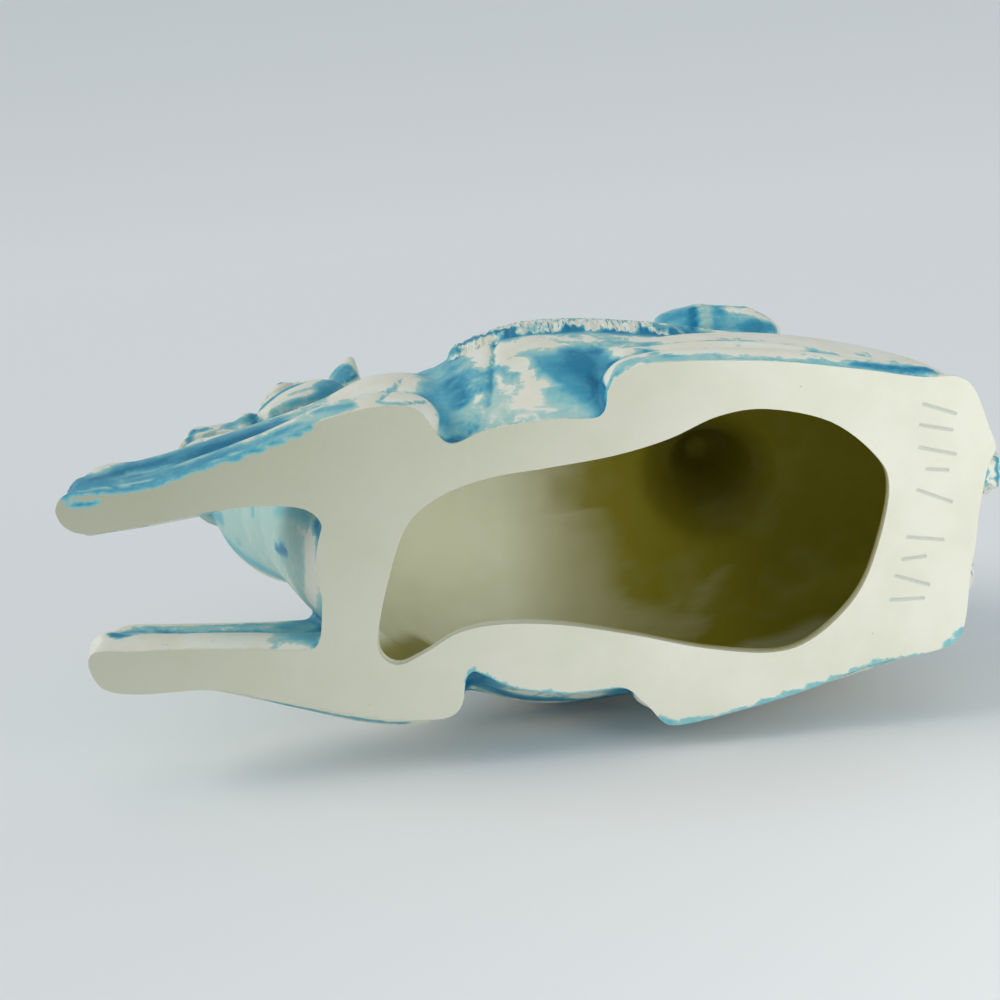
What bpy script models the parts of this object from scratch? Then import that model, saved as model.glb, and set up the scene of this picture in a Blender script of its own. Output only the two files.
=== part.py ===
"""Slip-cast ceramic camel, resting on its folded legs, hollow and open underneath.

The camel faces -Y, its left side is +X, and it stands on z = 0. The free form is kept as
shares of its length: every table below is in parts, one part being BODY_LENGTH / 230.
Tables run from the knees of the forelegs, at y = 0, back to the rump.
"""
import math

import bmesh
import bpy
from mathutils import Matrix, Vector

MM = 0.001
BODY_LENGTH = 230 * MM       # knees of the forelegs to the rump
WALL = 4.5 * MM              # cast wall around the hollow
FLOOR = 4 * MM               # thickness of the flat underside
LEDGE = 3.5 * MM             # how far the hollow runs on past the rim of the opening
MOUTH = 14 * MM              # height of the upright sides just inside the opening
BLANKET = 1.8 * MM           # how far the blanket stands off the body
STRAP = 1.3 * MM             # how far the harness stands off what it is tied round

PART = BODY_LENGTH / 230
CLAY = 1.5 * MM              # grain of the fused clay form before it is thinned out
SKIN_FACES = 8000            # triangles of the outside
HOLLOW_FACES = 1100          # triangles of the inside
SOFTENING = 4                # rounds of smoothing on the fused forms
UNDER = 8 * MM               # how far the forms run below the ground before they are cut flat
SOLE_RIM = 4 * MM            # height of the upright rim round the underside
CREASE = math.radians(50)    # edges sharper than this stay crisp
THINNEST = 0.4 * MM          # least half width of a tapered end
WELD = 1e-7                  # points closer than this to a cutting plane lie on it

# Corners round a form: body, blanket, hollow, limbs, head and small forms
BODY_SIDES = 36
BLANKET_SIDES = 40
HOLLOW_SIDES = 30
LIMB_SIDES = 22
HEAD_SIDES = 28
FACE_SIDES = 14
TUFT_SIDES = 10

# Body, from the chest to the rump: y, z of the middle, half width, half height
TRUNK = (
    (56.5, 44, 9, 12), (60, 43, 18, 27), (66, 44, 26, 40), (76, 45, 34, 49), (90, 45, 41, 52),
    (102, 44, 46, 53), (115, 43, 49.5, 53), (130, 42, 49.5, 53), (146, 41, 47.5, 53),
    (165, 40, 44, 52), (184, 39, 39, 49), (200, 37, 33, 44), (213, 35, 26, 36),
    (223, 33, 17, 25), (229, 32, 7, 12),
)
# Head, out along the nose: y, z, half width, half depth
HEAD = (
    (71, 149, 6, 6), (67, 150.5, 12, 11), (60, 153, 16.5, 14), (51, 153.5, 19, 15),
    (42, 151, 19.5, 14.5), (33, 146.5, 18.5, 12.5), (25, 142.5, 18, 11.5), (17.5, 140, 17.4, 11),
    (12.5, 138.5, 15.6, 10.5), (9.5, 138, 12.4, 9.5), (7.8, 138, 7.5, 6),
)
# Single forms: x, y, z, half width, half depth
NECK = (
    (0, 106, 58, 26, 20), (0, 93, 59, 27, 26), (0, 79, 62, 27, 28), (0, 66, 70, 25.5, 26.5),
    (0, 56, 82, 23.5, 23.5), (0, 50, 96, 21.5, 21), (1, 48, 110, 19.5, 19.5), (2.5, 50, 124, 17.5, 18),
    (4, 54, 136, 16, 16), (5.5, 58, 147, 14, 13),
)
HUMP = (
    (0, 158, 58, 40, 49), (0, 158, 76, 38, 46), (0, 159.5, 92, 34, 41), (0, 161, 106, 28.5, 34),
    (0, 162.5, 119, 22, 26), (0, 164, 129, 16, 18.5), (0, 165, 136.5, 9.5, 11), (0, 165.5, 140, 4, 4.5),
)
HUMP_HOLLOW = (
    (-1, 167, 78, 20, 25), (-1, 168, 87, 15, 18), (-1, 169, 94, 11, 13), (-1, 170, 102, 9.5, 11),
    (0, 170, 113, 9, 10.5), (0, 170, 122, 7.5, 8.5), (0, 169, 129, 4, 5),
)
CHEST = (
    (0, 80, -8, 21, 17.5), (0, 80, 4, 22, 19), (0, 78, 14, 23.5, 22), (0, 75.5, 26, 24.5, 24),
    (0, 71.5, 40, 25, 24.5), (0, 67, 54, 25.5, 24), (0, 62, 68, 25, 23), (0, 56.5, 84, 24, 22.5),
    (0, 51, 100, 22, 22), (0, 48, 112, 20, 21), (0, 47, 124, 18, 18),
)
SEAT = ((0, 204, -8, 30, 19), (0, 205, 10, 31, 20.5), (0, 205, 26, 30, 22), (0, 202, 42, 24, 20))
JAW = (
    (0, 60, 138, 13, 11), (0, 48, 133, 16.5, 11.5), (0, 36, 129.5, 17.5, 10.5), (0, 26, 127.5, 17, 9),
    (0, 18, 127, 15.5, 7.5), (0, 14, 127.5, 11, 5.5), (0, 12, 128, 6, 3),
)
TAIL = (
    (0, 219, 66, 7, 5), (1, 227, 60, 5.5, 4.5), (2.5, 231, 48, 4.4, 3.8), (4, 231.5, 36, 4.4, 3.8),
    (5.5, 230.8, 24, 5.6, 4.6), (7, 229.5, 14, 6, 4.8), (8.5, 228.4, 7, 4.6, 3.6), (9, 227.8, 3.5, 2, 1.6),
)
FORELOCK = (
    (0, 71, 156, 7, 6), (0, 66, 164, 10, 6), (0, 58, 168, 10.5, 5), (0, 50, 167, 8, 3.6),
    (0, 44, 164.5, 4, 2),
)
CREST = (
    (5, 69, 156, 7, 6), (4, 71, 143, 7, 7), (2.5, 70.5, 128, 7, 7), (1, 72, 112, 7.5, 7),
    (0, 79, 98, 9, 7), (0, 92, 88, 12, 7),
)
BEARD = (
    (-2, 20, 126, 12, 6), (-2.5, 24.5, 120, 16, 8), (-3, 30, 112, 19, 10), (-2.5, 36.5, 101, 21, 11),
    (-1, 44, 87, 21.5, 11), (0, 52, 72, 20, 9),
)
# Limbs of the left side, the right foreleg folded closer in, and the left half of the face
FOREARM = (
    (20.9, 4, 17, 5, 7), (21, 6, 17, 7.4, 9.2), (21.3, 11, 17.5, 8.2, 9.8), (21.8, 19, 18.5, 7.7, 9.6),
    (24, 34, 20, 8.2, 11), (26.6, 50, 23, 8.8, 14.5), (29.3, 66, 28, 9.4, 20), (31, 80, 32, 12.4, 24),
    (30.5, 92, 36, 11, 24), (29, 100, 38, 7, 18),
)
SHANK = (
    (20.3, 2.4, 9, 4.5, 7), (20.4, 4, 9.5, 7.2, 10.5), (20.8, 9, 9, 7.2, 11.5), (21, 20, 7, 6.4, 9.6),
    (23.5, 36, 7, 7.2, 10), (27.5, 54, 7, 8, 10.5), (31, 70, 8, 9.8, 11.5), (32, 81, 8.5, 10, 12.5),
    (31, 89, 8.5, 9.5, 11.5), (29.5, 94, 8.5, 6, 8),
)
RIGHT_SHANK = (
    (19.3, 2.4, 9, 4.3, 7), (19.4, 4, 9.5, 6.9, 10.5), (19.8, 9, 9, 6.9, 11.5), (20, 20, 7, 6.3, 9.6),
    (22.3, 36, 7, 7.4, 10), (26.2, 54, 7, 9.5, 10.5), (29.5, 70, 8, 11.8, 11.5),
    (30.9, 81, 8.5, 12.2, 12.5), (30.9, 89, 8.5, 10.8, 11.5), (30.4, 94, 8.5, 6.7, 8),
)
SHOULDER = (
    (30, 82, 30, 9, 13), (30.5, 88, 44, 10, 15), (30, 97, 58, 11.5, 16), (28, 104, 72, 12, 15),
    (24, 110, 84, 8, 9),
)
THIGH = (
    (37.5, 134.4, 21, 4.5, 8), (37.3, 138, 23, 8.6, 14), (35.5, 148, 27, 10.8, 20), (34, 160, 30, 12.4, 27),
    (32, 176, 32, 12.8, 31), (29.5, 191, 31, 12.4, 30), (27, 204, 28, 11.2, 26),
    (24, 215, 23, 9.5, 20), (20, 221.5, 18, 6, 14), (18, 225, 16, 3, 7),
)
HIND_SHANK = (
    (35.5, 136, 8, 3.5, 7), (36, 140, 8, 7.5, 11), (36.5, 148, 8, 9, 12), (35, 162, 8, 10.2, 12),
    (33, 178, 8, 10.4, 11.5), (30.5, 194, 8, 9.6, 10.5), (28.5, 207, 8, 8.6, 9.5), (27.5, 214.5, 8, 8, 9),
    (25, 219.5, 8, 4, 6),
)
BROW = (
    (12, 54, 162.5, 4, 3), (16.5, 47.5, 163, 6.5, 4.5), (19, 40.5, 160, 6, 4.5), (18, 34, 154.5, 4, 3),
)
EYE = ((19, 47.5, 156, 2.5, 3), (21, 43, 155.5, 4, 5), (21, 39, 154, 3.8, 4.6), (19.5, 35.5, 152, 2, 2.5))
CHEEK = (
    (15, 64, 147, 3, 5), (18, 57, 145.5, 6, 10), (19.5, 49, 143, 5.5, 9.5), (19, 41, 140, 4, 7),
    (18, 35, 137, 2, 4),
)
LIP = (
    (11, 27, 135, 5.6, 4), (9.6, 19.5, 134, 7.4, 5.5), (8.4, 13.5, 133, 7, 6), (7.3, 10, 133, 5.8, 5.5),
    (6.6, 8.2, 133.5, 3.5, 3.5),
)
NOSTRIL_WING = (
    (9, 20, 148.5, 3, 2), (11, 15, 148, 5, 3.4), (11, 11, 145.5, 4.6, 3.4), (9, 9, 142, 2.5, 2.5),
)
EAR = (
    (13, 58.5, 158, 5, 6.5), (17.5, 59.5, 161, 4.4, 7.4), (21.5, 61, 164, 3.6, 6.4),
    (24.6, 63, 166.4, 2.6, 4.4), (27, 65, 167.6, 1.3, 1.8),
)
ROLL = (
    (36, 154, 82, 5, 5), (36, 155.5, 82, 9.5, 10), (36.2, 158.5, 82, 11.3, 12), (36.5, 165, 82, 12, 13),
    (36.3, 173, 81.5, 12, 13), (35.2, 181, 81, 11.2, 12.3), (33.8, 187, 80, 9, 10),
    (33, 190, 79.5, 6, 7), (33, 191.2, 79.5, 3, 3),
)

# Rim of the flat underside: x, y, round the left side from the chest and back along the right
SOLE = (
    (-5, 62.6), (7, 64.4), (13, 64.2), (16.6, 60), (18.2, 50), (18, 38), (16.4, 22), (15.2, 8),
    (17.4, 1.8), (22, 0), (25.6, 3), (25.6, 11), (24.9, 24), (28.6, 40), (33.4, 61), (37.6, 73),
    (39.7, 83), (38.3, 90), (34, 93.2), (28.8, 97.8), (31.4, 107), (32.4, 124), (31.8, 134),
    (35.6, 137), (41.4, 140.4), (43.6, 148), (43, 160), (41, 179), (37.6, 197), (34, 213),
    (33.6, 220.5), (30, 225), (20, 228.2), (15, 229.6), (11.5, 227.6), (3, 225.4), (-12, 222.4),
    (-28, 220), (-33, 216.8), (-35, 209), (-36.4, 196), (-41.8, 179), (-45.8, 160), (-47.6, 147),
    (-45.6, 142.8), (-39.6, 139.2), (-36.6, 134.6), (-36.8, 122), (-34.2, 108), (-29.4, 99.6),
    (-28.4, 96.8), (-31, 95.4), (-37.4, 93.8), (-40.2, 89.4), (-39, 81), (-35, 65), (-29.6, 47),
    (-27, 32), (-26.5, 14), (-24.6, 6), (-20, 2.8), (-15.4, 3), (-14.8, 8), (-16.8, 18),
    (-18.6, 38), (-19.6, 54), (-18.4, 60),
)
# Rim of the pouring hole, a bottle shape with its neck to the front
OPENING = (
    (19.6, 106), (16, 93.4), (9, 84.6), (-6, 78.2), (-17, 75), (-22.6, 75.4), (-25.2, 79.6),
    (-22.6, 86.6), (-18.4, 95.2), (-17.3, 106), (-19, 121), (-23.2, 138), (-28.2, 155),
    (-31, 172), (-28, 183), (-18.4, 193.8), (-6, 199.8), (8, 203.2), (16, 200.4), (25.4, 190),
    (30, 175), (29.4, 163), (25, 150.6), (22.2, 137), (20.8, 121),
)

# The blanket over the hump, and the fringe along its lower edge
BLANKET_FRONT = 98
BLANKET_BACK = 192
BLANKET_HEM = 53
BORDER = 6
SADDLE_BAND = (101, 105.5)
FRINGE_END = 160
TUFT_PITCH = 5.6
TUFT_LENGTH = 15
TUFT_ROOT = 2
TUFT_SPREAD = 2.9
TUFT_BULGE = 1.7
TUFT_SWELL = ((0, 0.7), (0.25, 1), (0.65, 0.9), (1, 0.3))

# The head turns to the right on the neck and sits a little to the left, and the muzzle
# swings back a little
HEAD_TURN = math.radians(9)
HEAD_SHIFT = 6
NECK_AXIS = 55
MUZZLE_ROOT = 38
MUZZLE_SWING = 8

# Bands round the head and the rolls: where each starts and ends along y
NOSE_BAND = (27, 31)
BROW_BAND = (54, 58)
ROLL_STRAPS = ((166.5, 170.5), (181, 184.5))


def parts(*values):
    """A point given in parts, in metres."""
    return Vector([value * PART for value in values])


def smooth_between(before, start, end, after, share):
    """Catmull-Rom value at a share of the way from start to end."""
    bend = 2 * before - 5 * start + 4 * end - after
    turn = 3 * start - before - 3 * end + after
    return start + 0.5 * share * (end - before + share * (bend + share * turn))


def smooth_row(rows, steps, closed=False):
    """Rows of numbers with extra rows between them on a smooth curve."""
    count = len(rows)
    result = []
    for index in range(count if closed else count - 1):
        if closed:
            four = [rows[(index + shift) % count] for shift in (-1, 0, 1, 2)]
        else:
            four = [rows[min(max(index + shift, 0), count - 1)] for shift in (-1, 0, 1, 2)]
        for step in range(steps):
            result.append([smooth_between(*values, step / steps) for values in zip(*four)])
    if not closed:
        result.append(list(rows[-1]))
    return result


def row_at(rows, y):
    """The row of a table along y, read at one place between its stations."""
    dense = smooth_row(rows, 8)
    return min(dense, key=lambda row: abs(row[0] - y))


def loft(bm, stations, sides, steps=4, grow=0.0, mirror=1):
    """Closed tube of ellipses through stations of x, y, z, half width and half depth."""
    rows = smooth_row(stations, steps)
    places = [parts(mirror * x, y, z) for x, y, z, _, _ in rows]
    rings = []
    for index, (place, row) in enumerate(zip(places, rows)):
        ahead = places[min(index + 1, len(places) - 1)] - places[max(index - 1, 0)]
        ahead.normalize()
        across = Vector((1, 0, 0))
        across = (across - ahead * across.dot(ahead)).normalized()
        upward = ahead.cross(across)
        half_width = max(row[3] * PART + grow, THINNEST)
        half_depth = max(row[4] * PART + grow, THINNEST)
        frame = Matrix((across * half_width, upward * half_depth, ahead)).transposed().to_4x4()
        frame.translation = place
        if index in (0, len(places) - 1):
            frame.translation += ahead * (grow if index else -grow)
        ring = bmesh.ops.create_circle(bm, segments=sides, radius=1, matrix=frame)["verts"]
        rings.append({edge for vert in ring for edge in vert.link_edges})
    for ring, following in zip(rings, rings[1:]):
        bmesh.ops.bridge_loops(bm, edges=list(ring | following))
    for ring in (rings[0], rings[-1]):
        bmesh.ops.contextual_create(bm, geom=list(ring))


def central(table):
    """Stations on the middle line from rows of y, z, half width and half depth."""
    return [(0, y, z, half_width, half_depth) for y, z, half_width, half_depth in table]


def keep_side(bm, point, outward):
    """Cut closed forms by a plane, drop what lies beyond it and close the cut."""
    geometry = bm.verts[:] + bm.edges[:] + bm.faces[:]
    bmesh.ops.bisect_plane(
        bm, geom=geometry, plane_co=point, plane_no=outward, clear_outer=True, dist=WELD)
    rim = [edge for edge in bm.edges if edge.is_boundary]
    bmesh.ops.holes_fill(bm, edges=rim)


def slab(bm, stations, low, high, hem=None, top=None, **shape):
    """The stretch of a loft between two places along y, above a hem and below a top."""
    piece = bmesh.new()
    loft(piece, stations, **shape)
    keep_side(piece, parts(0, high, 0), Vector((0, 1, 0)))
    keep_side(piece, parts(0, low, 0), Vector((0, -1, 0)))
    if hem is not None:
        keep_side(piece, parts(0, 0, hem), Vector((0, 0, -1)))
    if top is not None:
        keep_side(piece, parts(0, 0, top), Vector((0, 0, 1)))
    add_form(bm, piece)


def add_form(bm, piece):
    """Put a finished form, its faces turned outwards, with the others."""
    bmesh.ops.recalc_face_normals(piece, faces=piece.faces[:])
    mesh = bpy.data.meshes.new("form")
    piece.to_mesh(mesh)
    piece.free()
    bm.from_mesh(mesh)
    bpy.data.meshes.remove(mesh)


def add_loft(bm, stations, **shape):
    piece = bmesh.new()
    loft(piece, stations, **shape)
    add_form(bm, piece)


def add_pair(bm, stations, **shape):
    """The same form on the left and on the right."""
    for side in (1, -1):
        add_loft(bm, stations, mirror=side, **shape)


def outline_prism(bm, outline, low, high, widen=0.0):
    """Upright prism on a smooth closed outline, widened or narrowed along its normals."""
    rim = [parts(x, y, 0) for x, y in smooth_row(outline, 3, closed=True)]
    moved = []
    for index, point in enumerate(rim):
        along = rim[(index + 1) % len(rim)] - rim[index - 1]
        outward = Vector((along.y, -along.x, 0)).normalized()
        moved.append(point + outward * widen)
    turn = sum(a.x * b.y - b.x * a.y for a, b in zip(moved, moved[1:] + moved[:1]))
    if turn < 0 and widen:
        moved = [2 * point - shifted for point, shifted in zip(rim, moved)]
    piece = bmesh.new()
    corners = [piece.verts.new((point.x, point.y, low)) for point in moved]
    foot = piece.faces.new(corners)
    raised = bmesh.ops.extrude_face_region(piece, geom=[foot])["geom"]
    top = [item for item in raised if isinstance(item, bmesh.types.BMVert)]
    bmesh.ops.translate(piece, verts=top, vec=(0, 0, high - low))
    add_form(bm, piece)


def trunk_side(y, z):
    """How far the body reaches sideways at a height, in parts."""
    _, middle, half_width, half_height = row_at(TRUNK, y)
    return half_width * math.sqrt(max(1 - ((z - middle) / half_height) ** 2, 0))


def add_blanket(bm):
    """Blanket over back and hump, with a raised border and tufts along its hem."""
    ends = (BLANKET_FRONT, BLANKET_BACK)
    back = central(TRUNK)
    for stations in (back, HUMP):
        slab(bm, stations, *ends, BLANKET_HEM, sides=BLANKET_SIDES, grow=BLANKET)
    for low in (BLANKET_FRONT, BLANKET_BACK - BORDER):
        slab(bm, back, low, low + BORDER, BLANKET_HEM, sides=BLANKET_SIDES, grow=BLANKET + STRAP)
    slab(bm, back, *ends, BLANKET_HEM, BLANKET_HEM + BORDER, sides=BLANKET_SIDES, grow=BLANKET + STRAP)
    slab(bm, HUMP, *ends, *SADDLE_BAND, sides=BLANKET_SIDES, grow=BLANKET + STRAP)
    for index in range(int((FRINGE_END - BLANKET_FRONT) / TUFT_PITCH)):
        y = BLANKET_FRONT + TUFT_PITCH * (index + 0.5)
        tuft = []
        for share, swell in TUFT_SWELL:
            z = BLANKET_HEM + TUFT_ROOT - TUFT_LENGTH * share
            x = trunk_side(y, z) + BLANKET / MM / 2
            tuft.append((x, y, z, TUFT_BULGE * swell, TUFT_SPREAD * swell))
        add_pair(bm, tuft, sides=TUFT_SIDES, steps=2)


def add_rolls(bm):
    """A packed roll behind the hump on each side, with its straps and the sling between them."""
    add_pair(bm, ROLL, sides=LIMB_SIDES)
    for low, high in ROLL_STRAPS:
        for side in (1, -1):
            slab(bm, ROLL, low, high, sides=LIMB_SIDES, grow=STRAP, mirror=side)
        slab(bm, central(TRUNK), low, high, BLANKET_HEM, sides=BLANKET_SIDES, grow=BLANKET + STRAP)


def add_head(bm):
    """The head with its features and bridle, turned a little on the neck."""
    piece = bmesh.new()
    add_loft(piece, central(HEAD), sides=HEAD_SIDES)
    for form in (JAW, FORELOCK):
        add_loft(piece, form, sides=FACE_SIDES)
    for form in (LIP, NOSTRIL_WING, BROW, EYE, CHEEK, EAR):
        add_pair(piece, form, sides=FACE_SIDES)
    for band in (NOSE_BAND, BROW_BAND):
        slab(piece, central(HEAD), *band, sides=HEAD_SIDES, grow=STRAP)
    for vert in piece.verts:
        forward = max(MUZZLE_ROOT * PART - vert.co.y, 0) / (MUZZLE_ROOT * PART)
        vert.co.x += MUZZLE_SWING * PART * forward ** 2
    turn = Matrix.Rotation(-HEAD_TURN, 3, "Z")
    bmesh.ops.rotate(piece, verts=piece.verts, cent=parts(0, NECK_AXIS, 0), matrix=turn)
    bmesh.ops.translate(piece, verts=piece.verts, vec=parts(HEAD_SHIFT, 0, 0))
    add_form(bm, piece)


def body_forms():
    """Every rounded form of the camel, still separate and overlapping."""
    bm = bmesh.new()
    outline_prism(bm, SOLE, -UNDER, SOLE_RIM)
    for form in (central(TRUNK), HUMP, NECK, CHEST, SEAT):
        add_loft(bm, form, sides=BODY_SIDES)
    for limb in (FOREARM, SHOULDER, THIGH, HIND_SHANK):
        add_pair(bm, limb, sides=LIMB_SIDES)
    add_loft(bm, SHANK, sides=LIMB_SIDES)
    add_loft(bm, RIGHT_SHANK, mirror=-1, sides=LIMB_SIDES)
    for form in (TAIL, CREST, BEARD):
        add_loft(bm, form, sides=FACE_SIDES)
    add_head(bm)
    add_blanket(bm)
    add_rolls(bm)
    return bm


def hollow_forms():
    """The inside: the larger forms drawn in by the wall, above the flat underside."""
    bm = bmesh.new()
    outline_prism(bm, OPENING, -UNDER, FLOOR + MOUTH, widen=LEDGE)
    add_loft(bm, HUMP_HOLLOW, sides=LIMB_SIDES)
    for form in (central(TRUNK)[2:-1], NECK[:5]):
        add_loft(bm, form, sides=HOLLOW_SIDES, grow=-WALL)
    for limb in (THIGH[2:-2], SHOULDER[1:-1]):
        add_pair(bm, limb, sides=FACE_SIDES, grow=-WALL)
    return bm


def make_object(name, bm):
    mesh = bpy.data.meshes.new(name)
    bm.to_mesh(mesh)
    bm.free()
    item = bpy.data.objects.new(name, mesh)
    bpy.context.scene.collection.objects.link(item)
    return item


def applied(item):
    """Put what the modifiers make into the mesh itself."""
    graph = bpy.context.evaluated_depsgraph_get()
    mesh = bpy.data.meshes.new_from_object(item.evaluated_get(graph))
    item.modifiers.clear()
    old = item.data
    item.data = mesh
    bpy.data.meshes.remove(old)
    return item


def fuse(item, grain, faces):
    """Melt overlapping forms into one skin, smooth it and thin it to a number of triangles."""
    melt = item.modifiers.new("melt", "REMESH")
    melt.mode = "VOXEL"
    melt.voxel_size = grain
    soften = item.modifiers.new("soften", "SMOOTH")
    soften.factor = 0.5
    soften.iterations = SOFTENING
    applied(item)
    thin = item.modifiers.new("thin", "DECIMATE")
    thin.ratio = min(faces / (2 * len(item.data.polygons)), 1)
    applied(item)


def cut(item, cutter):
    """Take a cutter away from a piece and drop the cutter."""
    slice_off = item.modifiers.new("cut", "BOOLEAN")
    slice_off.operation = "DIFFERENCE"
    slice_off.solver = "EXACT"
    slice_off.object = cutter
    applied(item)
    mesh = cutter.data
    bpy.data.objects.remove(cutter)
    bpy.data.meshes.remove(mesh)


def below(height):
    """A block that fills everything under a height."""
    bm = bmesh.new()
    bmesh.ops.create_cube(bm, size=4 * BODY_LENGTH)
    bmesh.ops.translate(bm, verts=bm.verts, vec=(0, 0, height - 2 * BODY_LENGTH))
    return make_object("below", bm)


def opening_cutter():
    bm = bmesh.new()
    outline_prism(bm, OPENING, -UNDER, FLOOR + LEDGE)
    return make_object("opening", bm)


def bisque():
    """Bare cream clay body."""
    material = bpy.data.materials.new("bisque")
    material.use_nodes = True
    shader = material.node_tree.nodes["Principled BSDF"]
    shader.inputs["Base Color"].default_value = (0.80, 0.81, 0.70, 1)
    shader.inputs["Roughness"].default_value = 0.75
    shader.inputs["Metallic"].default_value = 0
    return material


def stand_on_origin(item):
    """Put the middle of the figure's footprint box over the origin."""
    corners = [item.matrix_world @ Vector(corner) for corner in item.bound_box]
    for axis in (0, 1):
        values = [corner[axis] for corner in corners]
        middle = (min(values) + max(values)) / 2
        for vert in item.data.vertices:
            vert.co[axis] -= middle


def main():
    for item in list(bpy.data.objects):
        bpy.data.objects.remove(item)
    camel = make_object("camel", body_forms())
    fuse(camel, CLAY, SKIN_FACES)
    cut(camel, below(0))
    hollow = make_object("hollow", hollow_forms())
    fuse(hollow, 2 * CLAY, HOLLOW_FACES)
    cut(hollow, below(FLOOR))
    cut(camel, hollow)
    cut(camel, opening_cutter())
    stand_on_origin(camel)
    camel.data.materials.append(bisque())
    camel.data.shade_smooth()
    camel.data.set_sharp_from_angle(angle=CREASE)


main()
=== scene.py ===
"""Slip-cast ceramic camel with a brushed blue wash, lying on its right side.

The camel faces -Y, its left side is +X, and it would stand on z = 0. The photograph looks
at its flat underside, from -Z. Free forms are tables in millimetres that run from the knees
of the forelegs, at y = 0, back to the rump; the finished mesh is centred as the frame is.
"""
import math

import bmesh
import bpy
import numpy as np
from mathutils import Matrix, Vector, noise
from mathutils.bvhtree import BVHTree


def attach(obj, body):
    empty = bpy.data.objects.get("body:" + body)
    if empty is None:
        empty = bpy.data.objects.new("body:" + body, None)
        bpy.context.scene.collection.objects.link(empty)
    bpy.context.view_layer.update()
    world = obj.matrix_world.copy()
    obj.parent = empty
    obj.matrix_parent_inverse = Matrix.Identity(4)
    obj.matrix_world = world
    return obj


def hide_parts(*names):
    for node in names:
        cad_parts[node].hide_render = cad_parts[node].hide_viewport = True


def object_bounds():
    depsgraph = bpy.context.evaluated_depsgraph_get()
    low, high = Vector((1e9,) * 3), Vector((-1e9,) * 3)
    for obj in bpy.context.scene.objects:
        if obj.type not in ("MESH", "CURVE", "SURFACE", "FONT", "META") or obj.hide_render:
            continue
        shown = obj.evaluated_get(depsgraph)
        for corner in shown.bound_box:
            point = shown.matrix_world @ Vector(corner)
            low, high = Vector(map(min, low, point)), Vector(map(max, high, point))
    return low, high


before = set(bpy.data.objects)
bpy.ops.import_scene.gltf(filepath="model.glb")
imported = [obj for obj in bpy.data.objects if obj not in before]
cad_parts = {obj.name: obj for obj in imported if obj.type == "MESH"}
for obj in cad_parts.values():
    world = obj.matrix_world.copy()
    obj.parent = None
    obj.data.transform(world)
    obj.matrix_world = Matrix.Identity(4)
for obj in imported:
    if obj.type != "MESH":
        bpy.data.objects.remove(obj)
cad_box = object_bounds()

MM = 0.001
CLAY = 1.15 * MM             # grain of the skin before its finer parts are split
SKIN_SOFTENING = 4           # and the rounds of smoothing it gets
SKIN_FACES = 158000          # triangles that the carved skin keeps
HOLLOW_GRAIN = 1.9 * MM      # grain of the inside
HOLLOW_SOFTENING = 12
SOLE_GRAIN = 1.5 * MM        # grain of the flat underside
SCRATCH_GRAIN = 0.26 * MM    # its grain where it is scratched
SCRATCH_SPARE = 1.3 * SOLE_GRAIN
SOLE_LEVEL = 0.02 * MM       # what lies lower belongs to it
FLAT_DOWN = -0.99            # upward part of the normal of its faces
SCRATCHED_LEVEL = 0.7 * MM   # the same where it is scratched
SCRATCHED_DOWN = -0.3
INSIDE_GAP = 0.2 * MM        # what lies closer to the hollow's surface belongs to the inside
FLANK = 30 * MM              # sideways, where the blanket's hem and fringe begin
WALL = 4.5 * MM
FLOOR = 4 * MM
LEDGE = 3.5 * MM
MOUTH = 14 * MM
BLANKET = 1.8 * MM
STRAP = 1.3 * MM
ROLL_STRAP = 0.6 * MM
UNDER = 8 * MM
SOLE_RIM = 4 * MM
THINNEST = 0.4 * MM
WELD = 1e-7

BODY_SIDES = 48
BLANKET_SIDES = 56
HOLLOW_SIDES = 36
LIMB_SIDES = 32
HEAD_SIDES = 40
FACE_SIDES = 24
TUFT_SIDES = 12

# Body, from the chest to the rump: y, z of the middle, half width, half height
TRUNK = (
    (56.5, 44, 9, 12), (60, 43, 18, 27), (66, 44, 26, 40), (76, 45, 34, 49), (90, 45, 41, 52),
    (102, 44, 46, 53), (115, 43, 49.5, 53), (130, 42, 49.5, 53), (146, 41, 47.5, 53),
    (165, 40, 44, 52), (184, 39, 39, 49), (200, 37, 33, 44), (213, 35, 26, 36),
    (223, 33, 17, 25), (229, 32, 7, 12),
)
# Head, out along the nose: y, z, half width, half depth
HEAD = (
    (71, 149, 6, 6), (67, 150.5, 12, 11), (60, 153, 16.5, 14), (51, 153.5, 19, 15),
    (42, 151, 19.5, 14.5), (33, 146.5, 18.5, 12.5), (25, 142.5, 18, 11.5), (17.5, 140, 17.4, 11),
    (12.5, 138.5, 15.6, 10.5), (9.5, 138, 12.4, 9.5), (7.8, 138, 7.5, 6),
)
# Single forms: x, y, z, half width, half depth
NECK = (
    (0, 106, 58, 26, 20), (0, 93, 59, 27, 26), (0, 79, 62, 27, 28), (0, 66, 70, 25.5, 26.5),
    (0, 56, 82, 23.5, 23.5), (0, 50, 96, 21.5, 21), (1, 48, 110, 19.5, 19.5), (2.5, 50, 124, 17.5, 18),
    (4, 54, 136, 16, 16), (5.5, 58, 147, 14, 13),
)
HUMP = (
    (0, 158, 58, 40, 49), (0, 158, 76, 38, 46), (0, 159.5, 92, 34, 41), (0, 161, 106, 28.5, 34),
    (0, 162.5, 119, 22, 26), (0, 164, 129, 16, 18.5), (0, 165, 136.5, 9.5, 11), (0, 165.5, 140, 4, 4.5),
)
HUMP_HOLLOW = (
    (-1, 167, 78, 20, 25), (-1, 168, 87, 16.5, 20), (-1, 169, 96, 13, 15.5), (-1, 170, 105, 10.2, 12),
    (0, 170, 114, 8, 9.3), (0, 170, 122, 6, 6.8), (0, 169, 129, 3.5, 4),
)
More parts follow.
